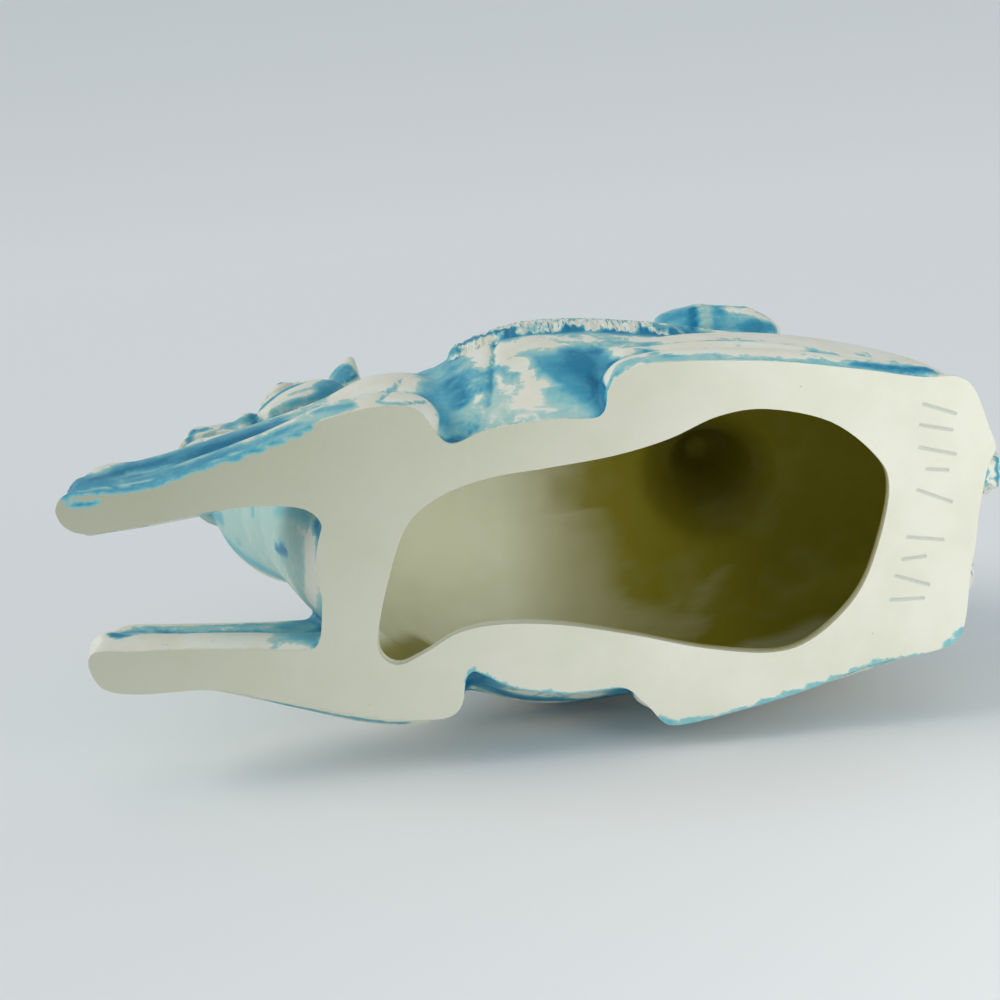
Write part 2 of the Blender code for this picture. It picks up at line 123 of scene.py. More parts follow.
CHEST = (
    (0, 80, -8, 21, 17.5), (0, 80, 4, 22, 19), (0, 78, 14, 23.5, 22), (0, 75.5, 26, 24.5, 24),
    (0, 71.5, 40, 25, 24.5), (0, 67, 54, 25.5, 24), (0, 62, 68, 25, 23), (0, 56.5, 84, 24, 22.5),
    (0, 51, 100, 22, 22), (0, 48, 112, 20, 21), (0, 47, 124, 18, 18),
)
SEAT = ((0, 204, -8, 30, 19), (0, 205, 10, 31, 20.5), (0, 205, 26, 30, 22), (0, 202, 42, 24, 20))
JAW = (
    (0, 60, 138, 13, 11), (0, 48, 133, 16.5, 11.5), (0, 36, 129.5, 17.5, 10.5), (0, 26, 127.5, 17, 9),
    (0, 18, 127, 15.5, 7.5), (0, 14, 127.5, 11, 5.5), (0, 12, 128, 6, 3),
)
TAIL = (
    (0, 219, 66, 7, 5), (1, 227, 60, 5.5, 4.5), (2.5, 231, 48, 4.4, 3.8), (4, 231.5, 36, 4.4, 3.8),
    (5.5, 230.8, 24, 5.6, 4.6), (7, 229.5, 14, 6, 4.8), (8.5, 228.4, 7, 4.6, 3.6), (9, 227.8, 3.5, 2, 1.6),
)
FORELOCK = (
    (0, 71, 156, 7, 6), (0, 66, 164, 10, 6), (0, 58, 168, 10.5, 5), (0, 50, 167, 8, 3.6),
    (0, 44, 164.5, 4, 2),
)
CREST = (
    (5, 69, 156, 7, 6), (4, 71, 143, 7, 7), (2.5, 70.5, 128, 7, 7), (1, 72, 112, 7.5, 7),
    (0, 79, 98, 9, 7), (0, 92, 88, 12, 7),
)
BEARD = (
    (-2, 20, 126, 12, 6), (-2.5, 24.5, 120, 16, 8), (-3, 30, 112, 19, 10), (-2.5, 36.5, 101, 21, 11),
    (-1, 44, 87, 21.5, 11), (0, 52, 72, 20, 9),
)
# Limbs of the left side, the right foreleg folded closer in, and the left half of the face
FOREARM = (
    (20.9, 4, 17, 5, 7), (21, 6, 17, 7.4, 9.2), (21.3, 11, 17.5, 8.2, 9.8), (21.8, 19, 18.5, 7.7, 9.6),
    (24, 34, 20, 8.2, 11), (26.6, 50, 23, 8.8, 14.5), (29.3, 66, 28, 9.4, 20), (31, 80, 32, 12.4, 24),
    (30.5, 92, 36, 11, 24), (29, 100, 38, 7, 18),
)
SHANK = (
    (20.3, 2.4, 9, 4.5, 7), (20.4, 4, 9.5, 7.2, 10.5), (20.8, 9, 9, 7.2, 11.5), (21, 20, 7, 6.4, 9.6),
    (23.5, 36, 7, 7.2, 10), (27.5, 54, 7, 8, 10.5), (31, 70, 8, 9.8, 11.5), (32, 81, 8.5, 10, 12.5),
    (31, 89, 8.5, 9.5, 11.5), (29.5, 94, 8.5, 6, 8),
)
RIGHT_SHANK = (
    (19.3, 2.4, 9, 4.3, 7), (19.4, 4, 9.5, 6.9, 10.5), (19.8, 9, 9, 6.9, 11.5), (20, 20, 7, 6.3, 9.6),
    (22.3, 36, 7, 7.4, 10), (26.2, 54, 7, 9.5, 10.5), (29.5, 70, 8, 11.8, 11.5),
    (30.9, 81, 8.5, 12.2, 12.5), (30.9, 89, 8.5, 10.8, 11.5), (30.4, 94, 8.5, 6.7, 8),
)
SHOULDER = (
    (30, 82, 30, 9, 13), (30.5, 88, 44, 10, 15), (30, 97, 58, 11.5, 16), (28, 104, 72, 12, 15),
    (24, 110, 84, 8, 9),
)
THIGH = (
    (37.5, 134.4, 21, 4.5, 8), (37.3, 138, 23, 8.6, 14), (35.5, 148, 27, 10.8, 20), (34, 160, 30, 12.4, 27),
    (32, 176, 32, 12.8, 31), (29.5, 191, 31, 12.4, 30), (27, 204, 28, 11.2, 26),
    (24, 215, 23, 9.5, 20), (20, 221.5, 18, 6, 14), (18, 225, 16, 3, 7),
)
HIND_SHANK = (
    (35.5, 136, 8, 3.5, 7), (36, 140, 8, 7.5, 11), (36.5, 148, 8, 9, 12), (35, 162, 8, 10.2, 12),
    (33, 178, 8, 10.4, 11.5), (30.5, 194, 8, 9.6, 10.5), (28.5, 207, 8, 8.6, 9.5), (27.5, 214.5, 8, 8, 9),
    (25, 219.5, 8, 4, 6),
)
BROW = (
    (12, 54, 162.5, 4, 3), (16.5, 47.5, 163, 6.5, 4.5), (19, 40.5, 160, 6, 4.5), (18, 34, 154.5, 4, 3),
)
EYE = ((19, 47.5, 156, 2.5, 3), (21, 43, 155.5, 4, 5), (21, 39, 154, 3.8, 4.6), (19.5, 35.5, 152, 2, 2.5))
CHEEK = (
    (15, 64, 147, 3, 5), (18, 57, 145.5, 6, 10), (19.5, 49, 143, 5.5, 9.5), (19, 41, 140, 4, 7),
    (18, 35, 137, 2, 4),
)
LIP = (
    (11, 27, 135, 5.6, 4), (9.6, 19.5, 134, 7.4, 5.5), (8.4, 13.5, 133, 7, 6), (7.3, 10, 133, 5.8, 5.5),
    (6.6, 8.2, 133.5, 3.5, 3.5),
)
NOSTRIL_WING = (
    (9, 20, 148.5, 3, 2), (11, 15, 148, 5, 3.4), (11, 11, 145.5, 4.6, 3.4), (9, 9, 142, 2.5, 2.5),
)
EAR = (
    (13, 58.5, 158, 5, 6.5), (17.5, 59.5, 161, 4.4, 7.4), (21.5, 61, 164, 3.6, 6.4),
    (24.6, 63, 166.4, 2.6, 4.4), (27, 65, 167.6, 1.3, 1.8),
)
ROLL = (
    (36, 154, 82, 5, 5), (36, 155.5, 82, 9.5, 10), (36.2, 158.5, 82, 11.3, 12), (36.5, 165, 82, 12, 13),
    (36.3, 173, 81.5, 12, 13), (35.2, 181, 81, 11.2, 12.3), (33.8, 187, 80, 9, 10),
    (33, 190, 79.5, 6, 7), (33, 191.2, 79.5, 3, 3),
)

# Rim of the flat underside: x, y, round the left side from the chest and back along the right
SOLE = (
    (-5, 62.6), (7, 64.4), (13, 64.2), (16.6, 60), (18.2, 50), (18, 38), (16.4, 22), (15.2, 8),
    (17.4, 1.8), (22, 0), (25.6, 3), (25.6, 11), (24.9, 24), (28.6, 40), (33.4, 61), (37.6, 73),
    (39.7, 83), (38.3, 90), (34, 93.2), (28.8, 97.8), (31.4, 107), (32.4, 124), (31.8, 134),
    (35.6, 137), (41.4, 140.4), (43.6, 148), (43, 160), (41, 179), (37.6, 197), (34, 213),
    (33.6, 220.5), (30, 225), (20, 228.2), (15, 229.6), (11.5, 227.6), (3, 225.4), (-12, 222.4),
    (-28, 220), (-33, 216.8), (-35, 209), (-36.4, 196), (-41.8, 179), (-45.8, 160), (-47.6, 147),
    (-45.6, 142.8), (-39.6, 139.2), (-36.6, 134.6), (-36.8, 122), (-34.2, 108), (-29.4, 99.6),
    (-28.4, 96.8), (-31, 95.4), (-37.4, 93.8), (-40.2, 89.4), (-39, 81), (-35, 65), (-29.6, 47),
    (-27, 32), (-26.5, 14), (-24.6, 6), (-20, 2.8), (-15.4, 3), (-14.8, 8), (-16.8, 18),
    (-18.6, 38), (-19.6, 54), (-18.4, 60),
)
# Rim of the pouring hole, a bottle shape with its neck to the front
OPENING = (
    (19.6, 106), (16, 93.4), (9, 84.6), (-6, 78.2), (-17, 75), (-22.6, 75.4), (-25.2, 79.6),
    (-22.6, 86.6), (-18.4, 95.2), (-17.3, 106), (-19, 121), (-23.2, 138), (-28.2, 155),
    (-31, 172), (-28, 183), (-18.4, 193.8), (-6, 199.8), (8, 203.2), (16, 200.4), (25.4, 190),
    (30, 175), (29.4, 163), (25, 150.6), (22.2, 137), (20.8, 121),
)

# The blanket over the hump, and the fringe along its lower edge
BLANKET_FRONT = 98
BLANKET_BACK = 192
BLANKET_HEM = 53
BORDER = 6
SADDLE_BAND = (101, 105.5)
FRINGE_END = 160
TUFT_PITCH = 5.6
TUFT_LENGTH = 15
TUFT_ROOT = 2
TUFT_SPREAD = 3.5
TUFT_BULGE = 1.7
TUFT_SWELL = ((0, 0.7), (0.25, 1), (0.65, 0.9), (1, 0.45))

# The head turns to the right on the neck and sits a little to the left; the muzzle swings back
HEAD_TURN = math.radians(9)
HEAD_SHIFT = 6
NECK_AXIS = 55
MUZZLE_ROOT = 38
MUZZLE_SWING = 8

# Bands round the head and the rolls: where each starts and ends along y
NOSE_BAND = (27, 31)
BROW_BAND = (54, 58)
ROLL_STRAPS = ((166.5, 170.5), (181, 184.5))

# Zigzag along the blanket's hem: length of a leg along y, margin to the border, width and depth
ZIGZAG_PITCH = 4
ZIGZAG_MARGIN = 1.4
ZIGZAG_LINE = (0.7, 0.6)
STRAP_REACH = 3              # how far the border stands out from the body, at most
# Folds along each roll and the twist of its straps: degrees between them, how many to each side
# of the middle, width and depth
ROLL_FOLDS = (28, 3, 0.8, 0.5)
STRAP_TWIST = (15, 6, 0.55, 0.5)
FOLD_PLACES = (156, 162, 172, 182, 187)
TWIST_LEAN = 0.1
# Combed hair: pitch, depth and seed
FRINGE_COMB = (2.1, 0.28, 53)
HUMP_COMB = (3.7, 0.3, 0)
FORELOCK_COMB = (3.3, 0.4, 7)
BROW_COMB = (2.3, 0.22, 61)
CREST_COMB = (3.3, 0.45, 19)
TAIL_COMB = (3.1, 0.4, 43)
BROW_LEVEL = 156             # brow hair starts above this height
HAIR_FRONT = 118             # and the hump's behind this place
HUMP_AXIS = (0, 164, 20)     # x, y and radius of what the hair runs round
TAIL_AXIS = (8, 226, 6)
DRIFT_SIZE = (14, 16)        # how far strands and locks keep their way, across and along
LOCK_SIZE = (6, 13)
LOCK_SEED = 40

# Boxes in which the skin is split finer
FINE_AREAS = (
    ((-40, -5, 118), (60, 76, 185)), ((40, 92, 30), (60, 164, 64)), ((-60, 92, 30), (-40, 164, 64)),
    ((20, 148, 62), (60, 200, 100)),
)
CRISP = math.radians(52)     # edges sharper than this stay crisp

# Grooves in the left half of the face and its mirror image: width, depth, points
FACE_GROOVES = (
    (1.1, 1.3, ((18, 28, 132.6), (18, 21, 131.2), (16.5, 14.5, 130.6), (12, 10, 130.4), (6, 8.4, 130.4),
                (0, 8, 130.4))),
    (1.3, 1.7, ((5.5, 8.5, 142), (8.5, 8.4, 144.6), (12, 10, 147.4), (13.5, 13, 149))),
    (0.8, 0.7, ((25, 47.6, 154.5), (25, 44.6, 158), (25, 40.5, 158.6), (24.5, 36.5, 156),
                (24, 34.6, 152.6))),
    (0.8, 0.6, ((25, 47, 153), (25, 43.5, 151), (25, 39.5, 150.2), (24, 36, 151))),
    (1.8, 1.3, ((17, 59.5, 165), (21, 60.5, 167.4), (25, 62, 168.4))),
    (1.0, 0.5, ((17, 25, 150.5), (18, 31, 153), (17, 37, 158))),
)
# Raised cheek straps of the bridle
FACE_RIDGES = (
    (1.7, 1.0, ((20.5, 29.5, 142), (22.5, 36, 143), (24.5, 45, 146.5), (22, 55, 151))),
    (2.4, 0.9, ((25.2, 41, 154.6), (25.2, 41.6, 154.7))),
)
PUPIL = (25.2, 41.2, 154.6)
PUPIL_RADIUS = 1.1
# Grooves on both sides of the body
BODY_GROOVES = (
    (1.2, 1.0, ((38.5, 134.5, 17), (38.5, 135, 10), (38.5, 135.5, 3))),
    (1.0, 0.8, ((43.5, 80, 18), (41.5, 64, 15.5), (36.5, 48, 13.5), (31.5, 34, 13))),
    (1.0, 0.6, ((38, 98, 44), (42, 103, 56), (40, 108, 68))),
)
# Soft rises that level the seam between thigh and shin
BODY_RISES = (
    (2.4, 1.0, ((44, 143, 17.5), (47, 156, 17), (45, 172, 16.5), (41, 188, 16.5), (37, 203, 16.5))),
)
# Raised reins from the bridle along the neck to the blanket
REINS = (1.5, 0.9, ((25, 36, 133), (26, 46, 122), (26, 58, 106), (28, 74, 94), (33, 92, 84), (37, 99, 76)))
# Incised lines that the photograph shows: width, depth and its pixels
SEEN_GROOVES = (
    (0.6, 0.5, ((378, 402), (389, 392), (402, 379))),
    (0.6, 0.5, ((380, 403), (400, 404), (424, 402))),
    (0.9, 0.9, ((494, 334), (492, 355), (491, 380), (489, 404))),
)

# Shallow strokes scratched in the underside behind the pouring hole, in rows that spell nothing:
# x and y of both ends
SCRATCH_AREA = ((-28, 199), (32, 222.5))
SCRATCH_WIDTH = 0.34
SCRATCH_DEPTH = 0.42
SCRATCHES = (
    ((27.5, 212.5), (24.5, 220)), ((22.5, 211.5), (20.5, 219)), ((17, 211), (14.5, 219.5)),
    ((11.5, 212.5), (10.8, 217.5)), ((6.5, 210), (2.8, 218)), ((-5, 207), (-6.5, 215.5)),
    ((-10.5, 205.5), (-10.2, 211)), ((-14.5, 203.5), (-17.5, 211.5)), ((-20.5, 202), (-20.8, 210)),
)


def parts(*values):
    """A point of the tables, in metres."""
    return Vector([value * MM for value in values])


def smooth_between(before, start, end, after, share):
    """Catmull-Rom value at a share of the way from start to end."""
    bend = 2 * before - 5 * start + 4 * end - after
    turn = 3 * start - before - 3 * end + after
    return start + 0.5 * share * (end - before + share * (bend + share * turn))


def smooth_row(rows, steps, closed=False):
    """Rows of numbers with extra rows between them on a smooth curve."""
    count = len(rows)
    result = []
    for index in range(count if closed else count - 1):
        if closed:
            four = [rows[(index + shift) % count] for shift in (-1, 0, 1, 2)]
        else:
            four = [rows[min(max(index + shift, 0), count - 1)] for shift in (-1, 0, 1, 2)]
        for step in range(steps):
            result.append([smooth_between(*values, step / steps) for values in zip(*four)])
    if not closed:
        result.append(list(rows[-1]))
    return result


def row_at(rows, y, column=0):
    """The row of a table along y, read at one place between its stations."""
    return min(smooth_row(rows, 8), key=lambda row: abs(row[column] - y))


def rise(values, start, end):
    """0 up to a start and 1 from an end on, and straight between them."""
    return np.clip((values - start) / (end - start), 0, 1)


def loft(bm, stations, sides, steps=6, grow=0.0, mirror=1):
    """Closed tube of ellipses through stations of x, y, z, half width and half depth."""
    rows = smooth_row(stations, steps)
    places = [parts(mirror * x, y, z) for x, y, z, _, _ in rows]
    rings = []
    for index, (place, row) in enumerate(zip(places, rows)):
        ahead = places[min(index + 1, len(places) - 1)] - places[max(index - 1, 0)]
        ahead.normalize()
        across = Vector((1, 0, 0))
        across = (across - ahead * across.dot(ahead)).normalized()
        upward = ahead.cross(across)
        half_width = max(row[3] * MM + grow, THINNEST)
        half_depth = max(row[4] * MM + grow, THINNEST)
        frame_here = Matrix((across * half_width, upward * half_depth, ahead)).transposed().to_4x4()
        frame_here.translation = place
        if index in (0, len(places) - 1):
            frame_here.translation += ahead * (grow if index else -grow)
        ring = bmesh.ops.create_circle(bm, segments=sides, radius=1, matrix=frame_here)["verts"]
        rings.append({edge for vert in ring for edge in vert.link_edges})
    for ring, following in zip(rings, rings[1:]):
        bmesh.ops.bridge_loops(bm, edges=list(ring | following))
    for ring in (rings[0], rings[-1]):
        bmesh.ops.contextual_create(bm, geom=list(ring))


def central(table):
    """Stations on the middle line from rows of y, z, half width and half depth."""
    return [(0, y, z, half_width, half_depth) for y, z, half_width, half_depth in table]


def keep_side(bm, point, outward):
    """Cut closed forms by a plane, drop what lies beyond it and close the cut."""
    geometry = bm.verts[:] + bm.edges[:] + bm.faces[:]
    bmesh.ops.bisect_plane(
        bm, geom=geometry, plane_co=point, plane_no=outward, clear_outer=True, dist=WELD)
    rim = [edge for edge in bm.edges if edge.is_boundary]
    bmesh.ops.holes_fill(bm, edges=rim)


def slab(bm, stations, low, high, hem=None, top=None, **shape):
    """The stretch of a loft between two places along y, above a hem and below a top."""
    piece = bmesh.new()
    loft(piece, stations, **shape)
    keep_side(piece, parts(0, high, 0), Vector((0, 1, 0)))
    keep_side(piece, parts(0, low, 0), Vector((0, -1, 0)))
    if hem is not None:
        keep_side(piece, parts(0, 0, hem), Vector((0, 0, -1)))
    if top is not None:
        keep_side(piece, parts(0, 0, top), Vector((0, 0, 1)))
    add_form(bm, piece)


def add_form(bm, piece):
    """Put a finished form, its faces turned outwards, with the others."""
    bmesh.ops.recalc_face_normals(piece, faces=piece.faces[:])
    mesh = bpy.data.meshes.new("form")
    piece.to_mesh(mesh)
    piece.free()
    bm.from_mesh(mesh)
    bpy.data.meshes.remove(mesh)


def add_loft(bm, stations, **shape):
    piece = bmesh.new()
    loft(piece, stations, **shape)
    add_form(bm, piece)


def add_pair(bm, stations, **shape):
    """The same form on the left and on the right."""
    for side in (1, -1):
        add_loft(bm, stations, mirror=side, **shape)


def outline_prism(bm, outline, low, high, widen=0.0):
    """Upright prism on a smooth closed outline, widened along its normals."""
    rim = [parts(x, y, 0) for x, y in smooth_row(outline, 6, closed=True)]
    moved = []
    for index, point in enumerate(rim):
        along = rim[(index + 1) % len(rim)] - rim[index - 1]
        outward = Vector((along.y, -along.x, 0)).normalized()
        moved.append(point + outward * widen)
    turn = sum(a.x * b.y - b.x * a.y for a, b in zip(moved, moved[1:] + moved[:1]))
    if turn < 0 and widen:
        moved = [2 * point - shifted for point, shifted in zip(rim, moved)]
    piece = bmesh.new()
    corners = [piece.verts.new((point.x, point.y, low)) for point in moved]
    foot = piece.faces.new(corners)
    raised = bmesh.ops.extrude_face_region(piece, geom=[foot])["geom"]
    top = [item for item in raised if isinstance(item, bmesh.types.BMVert)]
    bmesh.ops.translate(piece, verts=top, vec=(0, 0, high - low))
    add_form(bm, piece)


def trunk_side(y, z):
    """How far the body reaches sideways at a height."""
    _, middle, half_width, half_height = row_at(TRUNK, y)
    return half_width * math.sqrt(max(1 - ((z - middle) / half_height) ** 2, 0))


def add_blanket(bm):
    """Blanket over back and hump, with a raised border and tufts along its hem."""
    ends = (BLANKET_FRONT, BLANKET_BACK)
    back = central(TRUNK)
    for stations in (back, HUMP):
        slab(bm, stations, *ends, BLANKET_HEM, sides=BLANKET_SIDES, grow=BLANKET)
    for low in (BLANKET_FRONT, BLANKET_BACK - BORDER):
        slab(bm, back, low, low + BORDER, BLANKET_HEM, sides=BLANKET_SIDES, grow=BLANKET + STRAP)
    slab(bm, back, *ends, BLANKET_HEM, BLANKET_HEM + BORDER, sides=BLANKET_SIDES, grow=BLANKET + STRAP)
    slab(bm, HUMP, *ends, *SADDLE_BAND, sides=BLANKET_SIDES, grow=BLANKET + STRAP)
    for index in range(int((FRINGE_END - BLANKET_FRONT) / TUFT_PITCH)):
        y = BLANKET_FRONT + TUFT_PITCH * (index + 0.5)
        tuft = []
        for share, swell in TUFT_SWELL:
            z = BLANKET_HEM + TUFT_ROOT - TUFT_LENGTH * share
            x = trunk_side(y, z) + BLANKET / MM / 2
            tuft.append((x, y, z, TUFT_BULGE * swell, TUFT_SPREAD * swell))
        add_pair(bm, tuft, sides=TUFT_SIDES, steps=3)


def add_rolls(bm):
    """A packed roll behind the hump on each side, with its straps and the sling between them."""
    add_pair(bm, ROLL, sides=LIMB_SIDES)
    for low, high in ROLL_STRAPS:
        for side in (1, -1):
            slab(bm, ROLL, low, high, sides=LIMB_SIDES, grow=ROLL_STRAP, mirror=side)
        slab(bm, central(TRUNK), low, high, BLANKET_HEM, sides=BLANKET_SIDES, grow=BLANKET + STRAP)


def head_place(point):
    """Where a point of the straight head goes when the head is turned on the neck."""
    forward = max(MUZZLE_ROOT * MM - point.y, 0) / (MUZZLE_ROOT * MM)
    swung = Vector((point.x + MUZZLE_SWING * MM * forward ** 2, point.y - NECK_AXIS * MM, point.z))
    turned = Matrix.Rotation(-HEAD_TURN, 3, "Z") @ swung
    return turned + parts(HEAD_SHIFT, NECK_AXIS, 0)


def add_head(bm):
    """The head with its features and bridle, turned a little on the neck."""
    piece = bmesh.new()
    add_loft(piece, central(HEAD), sides=HEAD_SIDES)
    for form in (JAW, FORELOCK):
        add_loft(piece, form, sides=FACE_SIDES)
    for form in (LIP, NOSTRIL_WING, BROW, EYE, CHEEK, EAR):
        add_pair(piece, form, sides=FACE_SIDES)
    for band in (NOSE_BAND, BROW_BAND):
        slab(piece, central(HEAD), *band, sides=HEAD_SIDES, grow=STRAP)
    for vert in piece.verts:
        vert.co = head_place(vert.co)
    add_form(bm, piece)


def body_forms():
    """Every rounded form of the camel, still separate and overlapping."""
    bm = bmesh.new()
    outline_prism(bm, SOLE, -UNDER, SOLE_RIM)
    for form in (central(TRUNK), HUMP, NECK, CHEST, SEAT):
        add_loft(bm, form, sides=BODY_SIDES)
    for limb in (FOREARM, SHOULDER, THIGH, HIND_SHANK):
        add_pair(bm, limb, sides=LIMB_SIDES)
    add_loft(bm, SHANK, sides=LIMB_SIDES)
    add_loft(bm, RIGHT_SHANK, mirror=-1, sides=LIMB_SIDES)
    for form in (TAIL, CREST, BEARD):
        add_loft(bm, form, sides=FACE_SIDES)
    add_head(bm)
    add_blanket(bm)
    add_rolls(bm)
    return bm


def hollow_forms():
    """The inside: the larger forms drawn in by the wall, above the flat underside."""
    bm = bmesh.new()
    outline_prism(bm, OPENING, -UNDER, FLOOR + MOUTH, widen=LEDGE)
    add_loft(bm, HUMP_HOLLOW, sides=LIMB_SIDES)
    for form in (central(TRUNK)[2:-1], NECK[:5]):
        add_loft(bm, form, sides=HOLLOW_SIDES, grow=-WALL)
    for limb in (THIGH[2:-2], SHOULDER[1:-1]):
        add_pair(bm, limb, sides=FACE_SIDES, grow=-WALL)
    return bm


def put_in(name, data):
    item = bpy.data.objects.new(name, data)
    bpy.context.scene.collection.objects.link(item)
    return item


def make_object(name, bm):
    mesh = bpy.data.meshes.new(name)
    bm.to_mesh(mesh)
    bm.free()
    return put_in(name, mesh)


def applied(item):
    """Put what the modifiers make into the mesh itself."""
    graph = bpy.context.evaluated_depsgraph_get()
    mesh = bpy.data.meshes.new_from_object(item.evaluated_get(graph))
    item.modifiers.clear()
    old = item.data
    item.data = mesh
    bpy.data.meshes.remove(old)
    return item


def fuse(item, grain, softening):
    """Melt overlapping forms into one skin and smooth it."""
    melt = item.modifiers.new("melt", "REMESH")
    melt.mode = "VOXEL"
    melt.voxel_size = grain
    soften = item.modifiers.new("soften", "SMOOTH")
    soften.factor = 0.5
    soften.iterations = softening
    applied(item)


def cut(item, cutter):
    """Take a cutter away from a piece and drop the cutter."""
    slice_off = item.modifiers.new("cut", "BOOLEAN")
    slice_off.operation = "DIFFERENCE"
    slice_off.solver = "EXACT"
    slice_off.object = cutter
    applied(item)
    mesh = cutter.data
    bpy.data.objects.remove(cutter)
    bpy.data.meshes.remove(mesh)


def below(height):
    """A block that fills everything under a height."""
    bm = bmesh.new()
    bmesh.ops.create_cube(bm, size=1)
    bmesh.ops.translate(bm, verts=bm.verts, vec=(0, 0, height - 0.5))
    return make_object("below", bm)


def surface_of(item):
    """A search tree of an object's faces."""
    bm = bmesh.new()
    bm.from_mesh(item.data)
    tree = BVHTree.FromBMesh(bm)
    bm.free()
    return tree


def grid(bm, geometry, low, high, pitch):
    """Cut flat faces into a grid along x and y."""
    for axis in (0, 1):
        direction = Vector((axis == 0, axis == 1, 0))
        for step in range(int((high[axis] - low[axis]) / pitch) + 1):
            point = direction * (low[axis] + pitch * step)
            made = bmesh.ops.bisect_plane(bm, geom=geometry, plane_co=point, plane_no=direction, dist=WELD)
            geometry = made["geom"]
    return geometry


def scratch_paths():
    return [[np.array(parts(*end, 0)) for end in ends] for ends in SCRATCHES]


def grid_sole(camel):
    """Give the flat underside an even grain, finer where it is scratched."""
    bm = bmesh.new()
    bm.from_mesh(camel.data)
    level = SOLE_LEVEL / 2
    down = [face for face in bm.faces if face.normal.z < FLAT_DOWN]
    geometry = with_borders([face for face in down if face.calc_center_median().z < level])
    low, high = (Vector([end(vert.co[axis] for vert in bm.verts) for axis in range(3)]) for end in (min, max))
    geometry = grid(bm, geometry, low, high, SOLE_GRAIN)
    faces = [item for item in geometry if isinstance(item, bmesh.types.BMFace) and item.is_valid]
    low, high = (parts(*corner, 0) for corner in SCRATCH_AREA)
    middles = np.array([face.calc_center_median() for face in faces])
    near = np.zeros(len(faces), bool)
    for path in scratch_paths():
        near |= distance_to_path(middles, path) < SCRATCH_SPARE
    chosen = [face for face, close in zip(faces, near) if close]
    grid(bm, with_borders(chosen), low, high, SCRATCH_GRAIN)
    bm.to_mesh(camel.data)
    bm.free()


def refine(camel):
    """Split the faces of the head, the fringe and the left side that the photograph shows."""
    bm = bmesh.new()
    bm.from_mesh(camel.data)
    chosen = []
    for low, high in FINE_AREAS:
        low, high = parts(*low), parts(*high)
        for face in bm.faces:
            middle = face.calc_center_median()
            if all(low[axis] < middle[axis] < high[axis] for axis in range(3)):
                chosen.append(face)
    edges = {edge for face in chosen if len(face.verts) == 4 for edge in face.edges}
    bmesh.ops.subdivide_edges(bm, edges=list(edges), cuts=1, use_grid_fill=True)
    bm.to_mesh(camel.data)
    bm.free()


def thin_out(camel):
    """Take faces away where the skin is flattest."""
    count = sum(len(face.vertices) - 2 for face in camel.data.polygons)
    thin = camel.modifiers.new("thin", "DECIMATE")
    thin.ratio = min(SKIN_FACES / count, 1)
    applied(camel)


def skin_masks(camel, inside):
    """1 at the points of the flat underside, and 1 at the points of the inside."""
    places, outward = skin_arrays(camel.data)
    low, high = SCRATCH_AREA
    scratched = (places[:, 2] < SCRATCHED_LEVEL) & (outward[:, 2] < SCRATCHED_DOWN)
    for axis in (0, 1):
        scratched &= (places[:, axis] > low[axis] * MM) & (places[:, axis] < high[axis] * MM)
    sole = ((places[:, 2] < SOLE_LEVEL) | scratched) * 1.0
    hidden = np.zeros(len(places))
    for index in np.nonzero(sole < 1)[0]:
        place = Vector(places[index])
        hidden[index] = min(tree.find_nearest(place)[3] for tree in inside) < INSIDE_GAP
    return sole, hidden


def with_borders(faces):
    """Faces with their edges and points."""
    edges = {edge for face in faces for edge in face.edges}
    verts = {vert for face in faces for vert in face.verts}
    return list(faces) + list(edges) + list(verts)


def cast_camel():
    """The hollow camel as one skin, and search trees of its inside surfaces."""
    camel = make_object("camel_figure", body_forms())
    fuse(camel, CLAY, SKIN_SOFTENING)
    refine(camel)
    cut(camel, below(0))
    hollow = make_object("hollow", hollow_forms())
    fuse(hollow, HOLLOW_GRAIN, HOLLOW_SOFTENING)
    cut(hollow, below(FLOOR))
    opening_form = bmesh.new()
    outline_prism(opening_form, OPENING, -UNDER, FLOOR + LEDGE)
    opening = make_object("opening", opening_form)
    inside = (surface_of(hollow), surface_of(opening))
    cut(camel, hollow)
    cut(camel, opening)
    return camel, inside


def skin_arrays(mesh):
    """Places and outward directions of a mesh's points."""
    places = np.empty(len(mesh.vertices) * 3)
    mesh.vertices.foreach_get("co", places)
    outward = np.empty(len(mesh.vertices) * 3)
    mesh.vertex_normals.foreach_get("vector", outward)
    return places.reshape(-1, 3), outward.reshape(-1, 3)


def distance_to_path(places, path):
    """Distance of every place to a line through points."""
    nearest = np.full(len(places), 1.0)
    for start, end in zip(path, path[1:]):
        along = end - start
        length = max(along.dot(along), 1e-12)
        share = np.clip((places - start) @ along / length, 0, 1)
        gap = places - start - share[:, None] * along
        nearest = np.minimum(nearest, np.sqrt((gap * gap).sum(axis=1)))
    return nearest


def on_skin(tree, points, steps=8):
    """A smooth line through points, laid on the skin."""
    laid = []
    for point in smooth_row(points, steps):
        place, _, _, _ = tree.find_nearest(Vector(point))
        laid.append(np.array(place))
    return laid


def press(places, shift, path, width, depth):
    """Add a rounded groove along a path to the inward shift of the points."""
    low = np.min(path, axis=0) - 3 * width
    high = np.max(path, axis=0) + 3 * width
    near = np.nonzero(((places > low) & (places < high)).all(axis=1))[0]
    gap = distance_to_path(places[near], path) / width
    shift[near] -= depth * np.exp(-gap * gap)


def near_form(places, form, spare, soft):
    """1 inside a form's reach plus a spare, falling to 0 over a soft distance."""
    amount = np.zeros(len(places))
    for row in smooth_row(form, 4):
        centre = np.array(row[:3]) * MM
        reach = (max(row[3], row[4]) + spare) * MM
        gap = np.sqrt(((places - centre) ** 2).sum(axis=1))
        amount = np.maximum(amount, np.clip(1 - (gap - reach) / (soft * MM), 0, 1))
    return amount


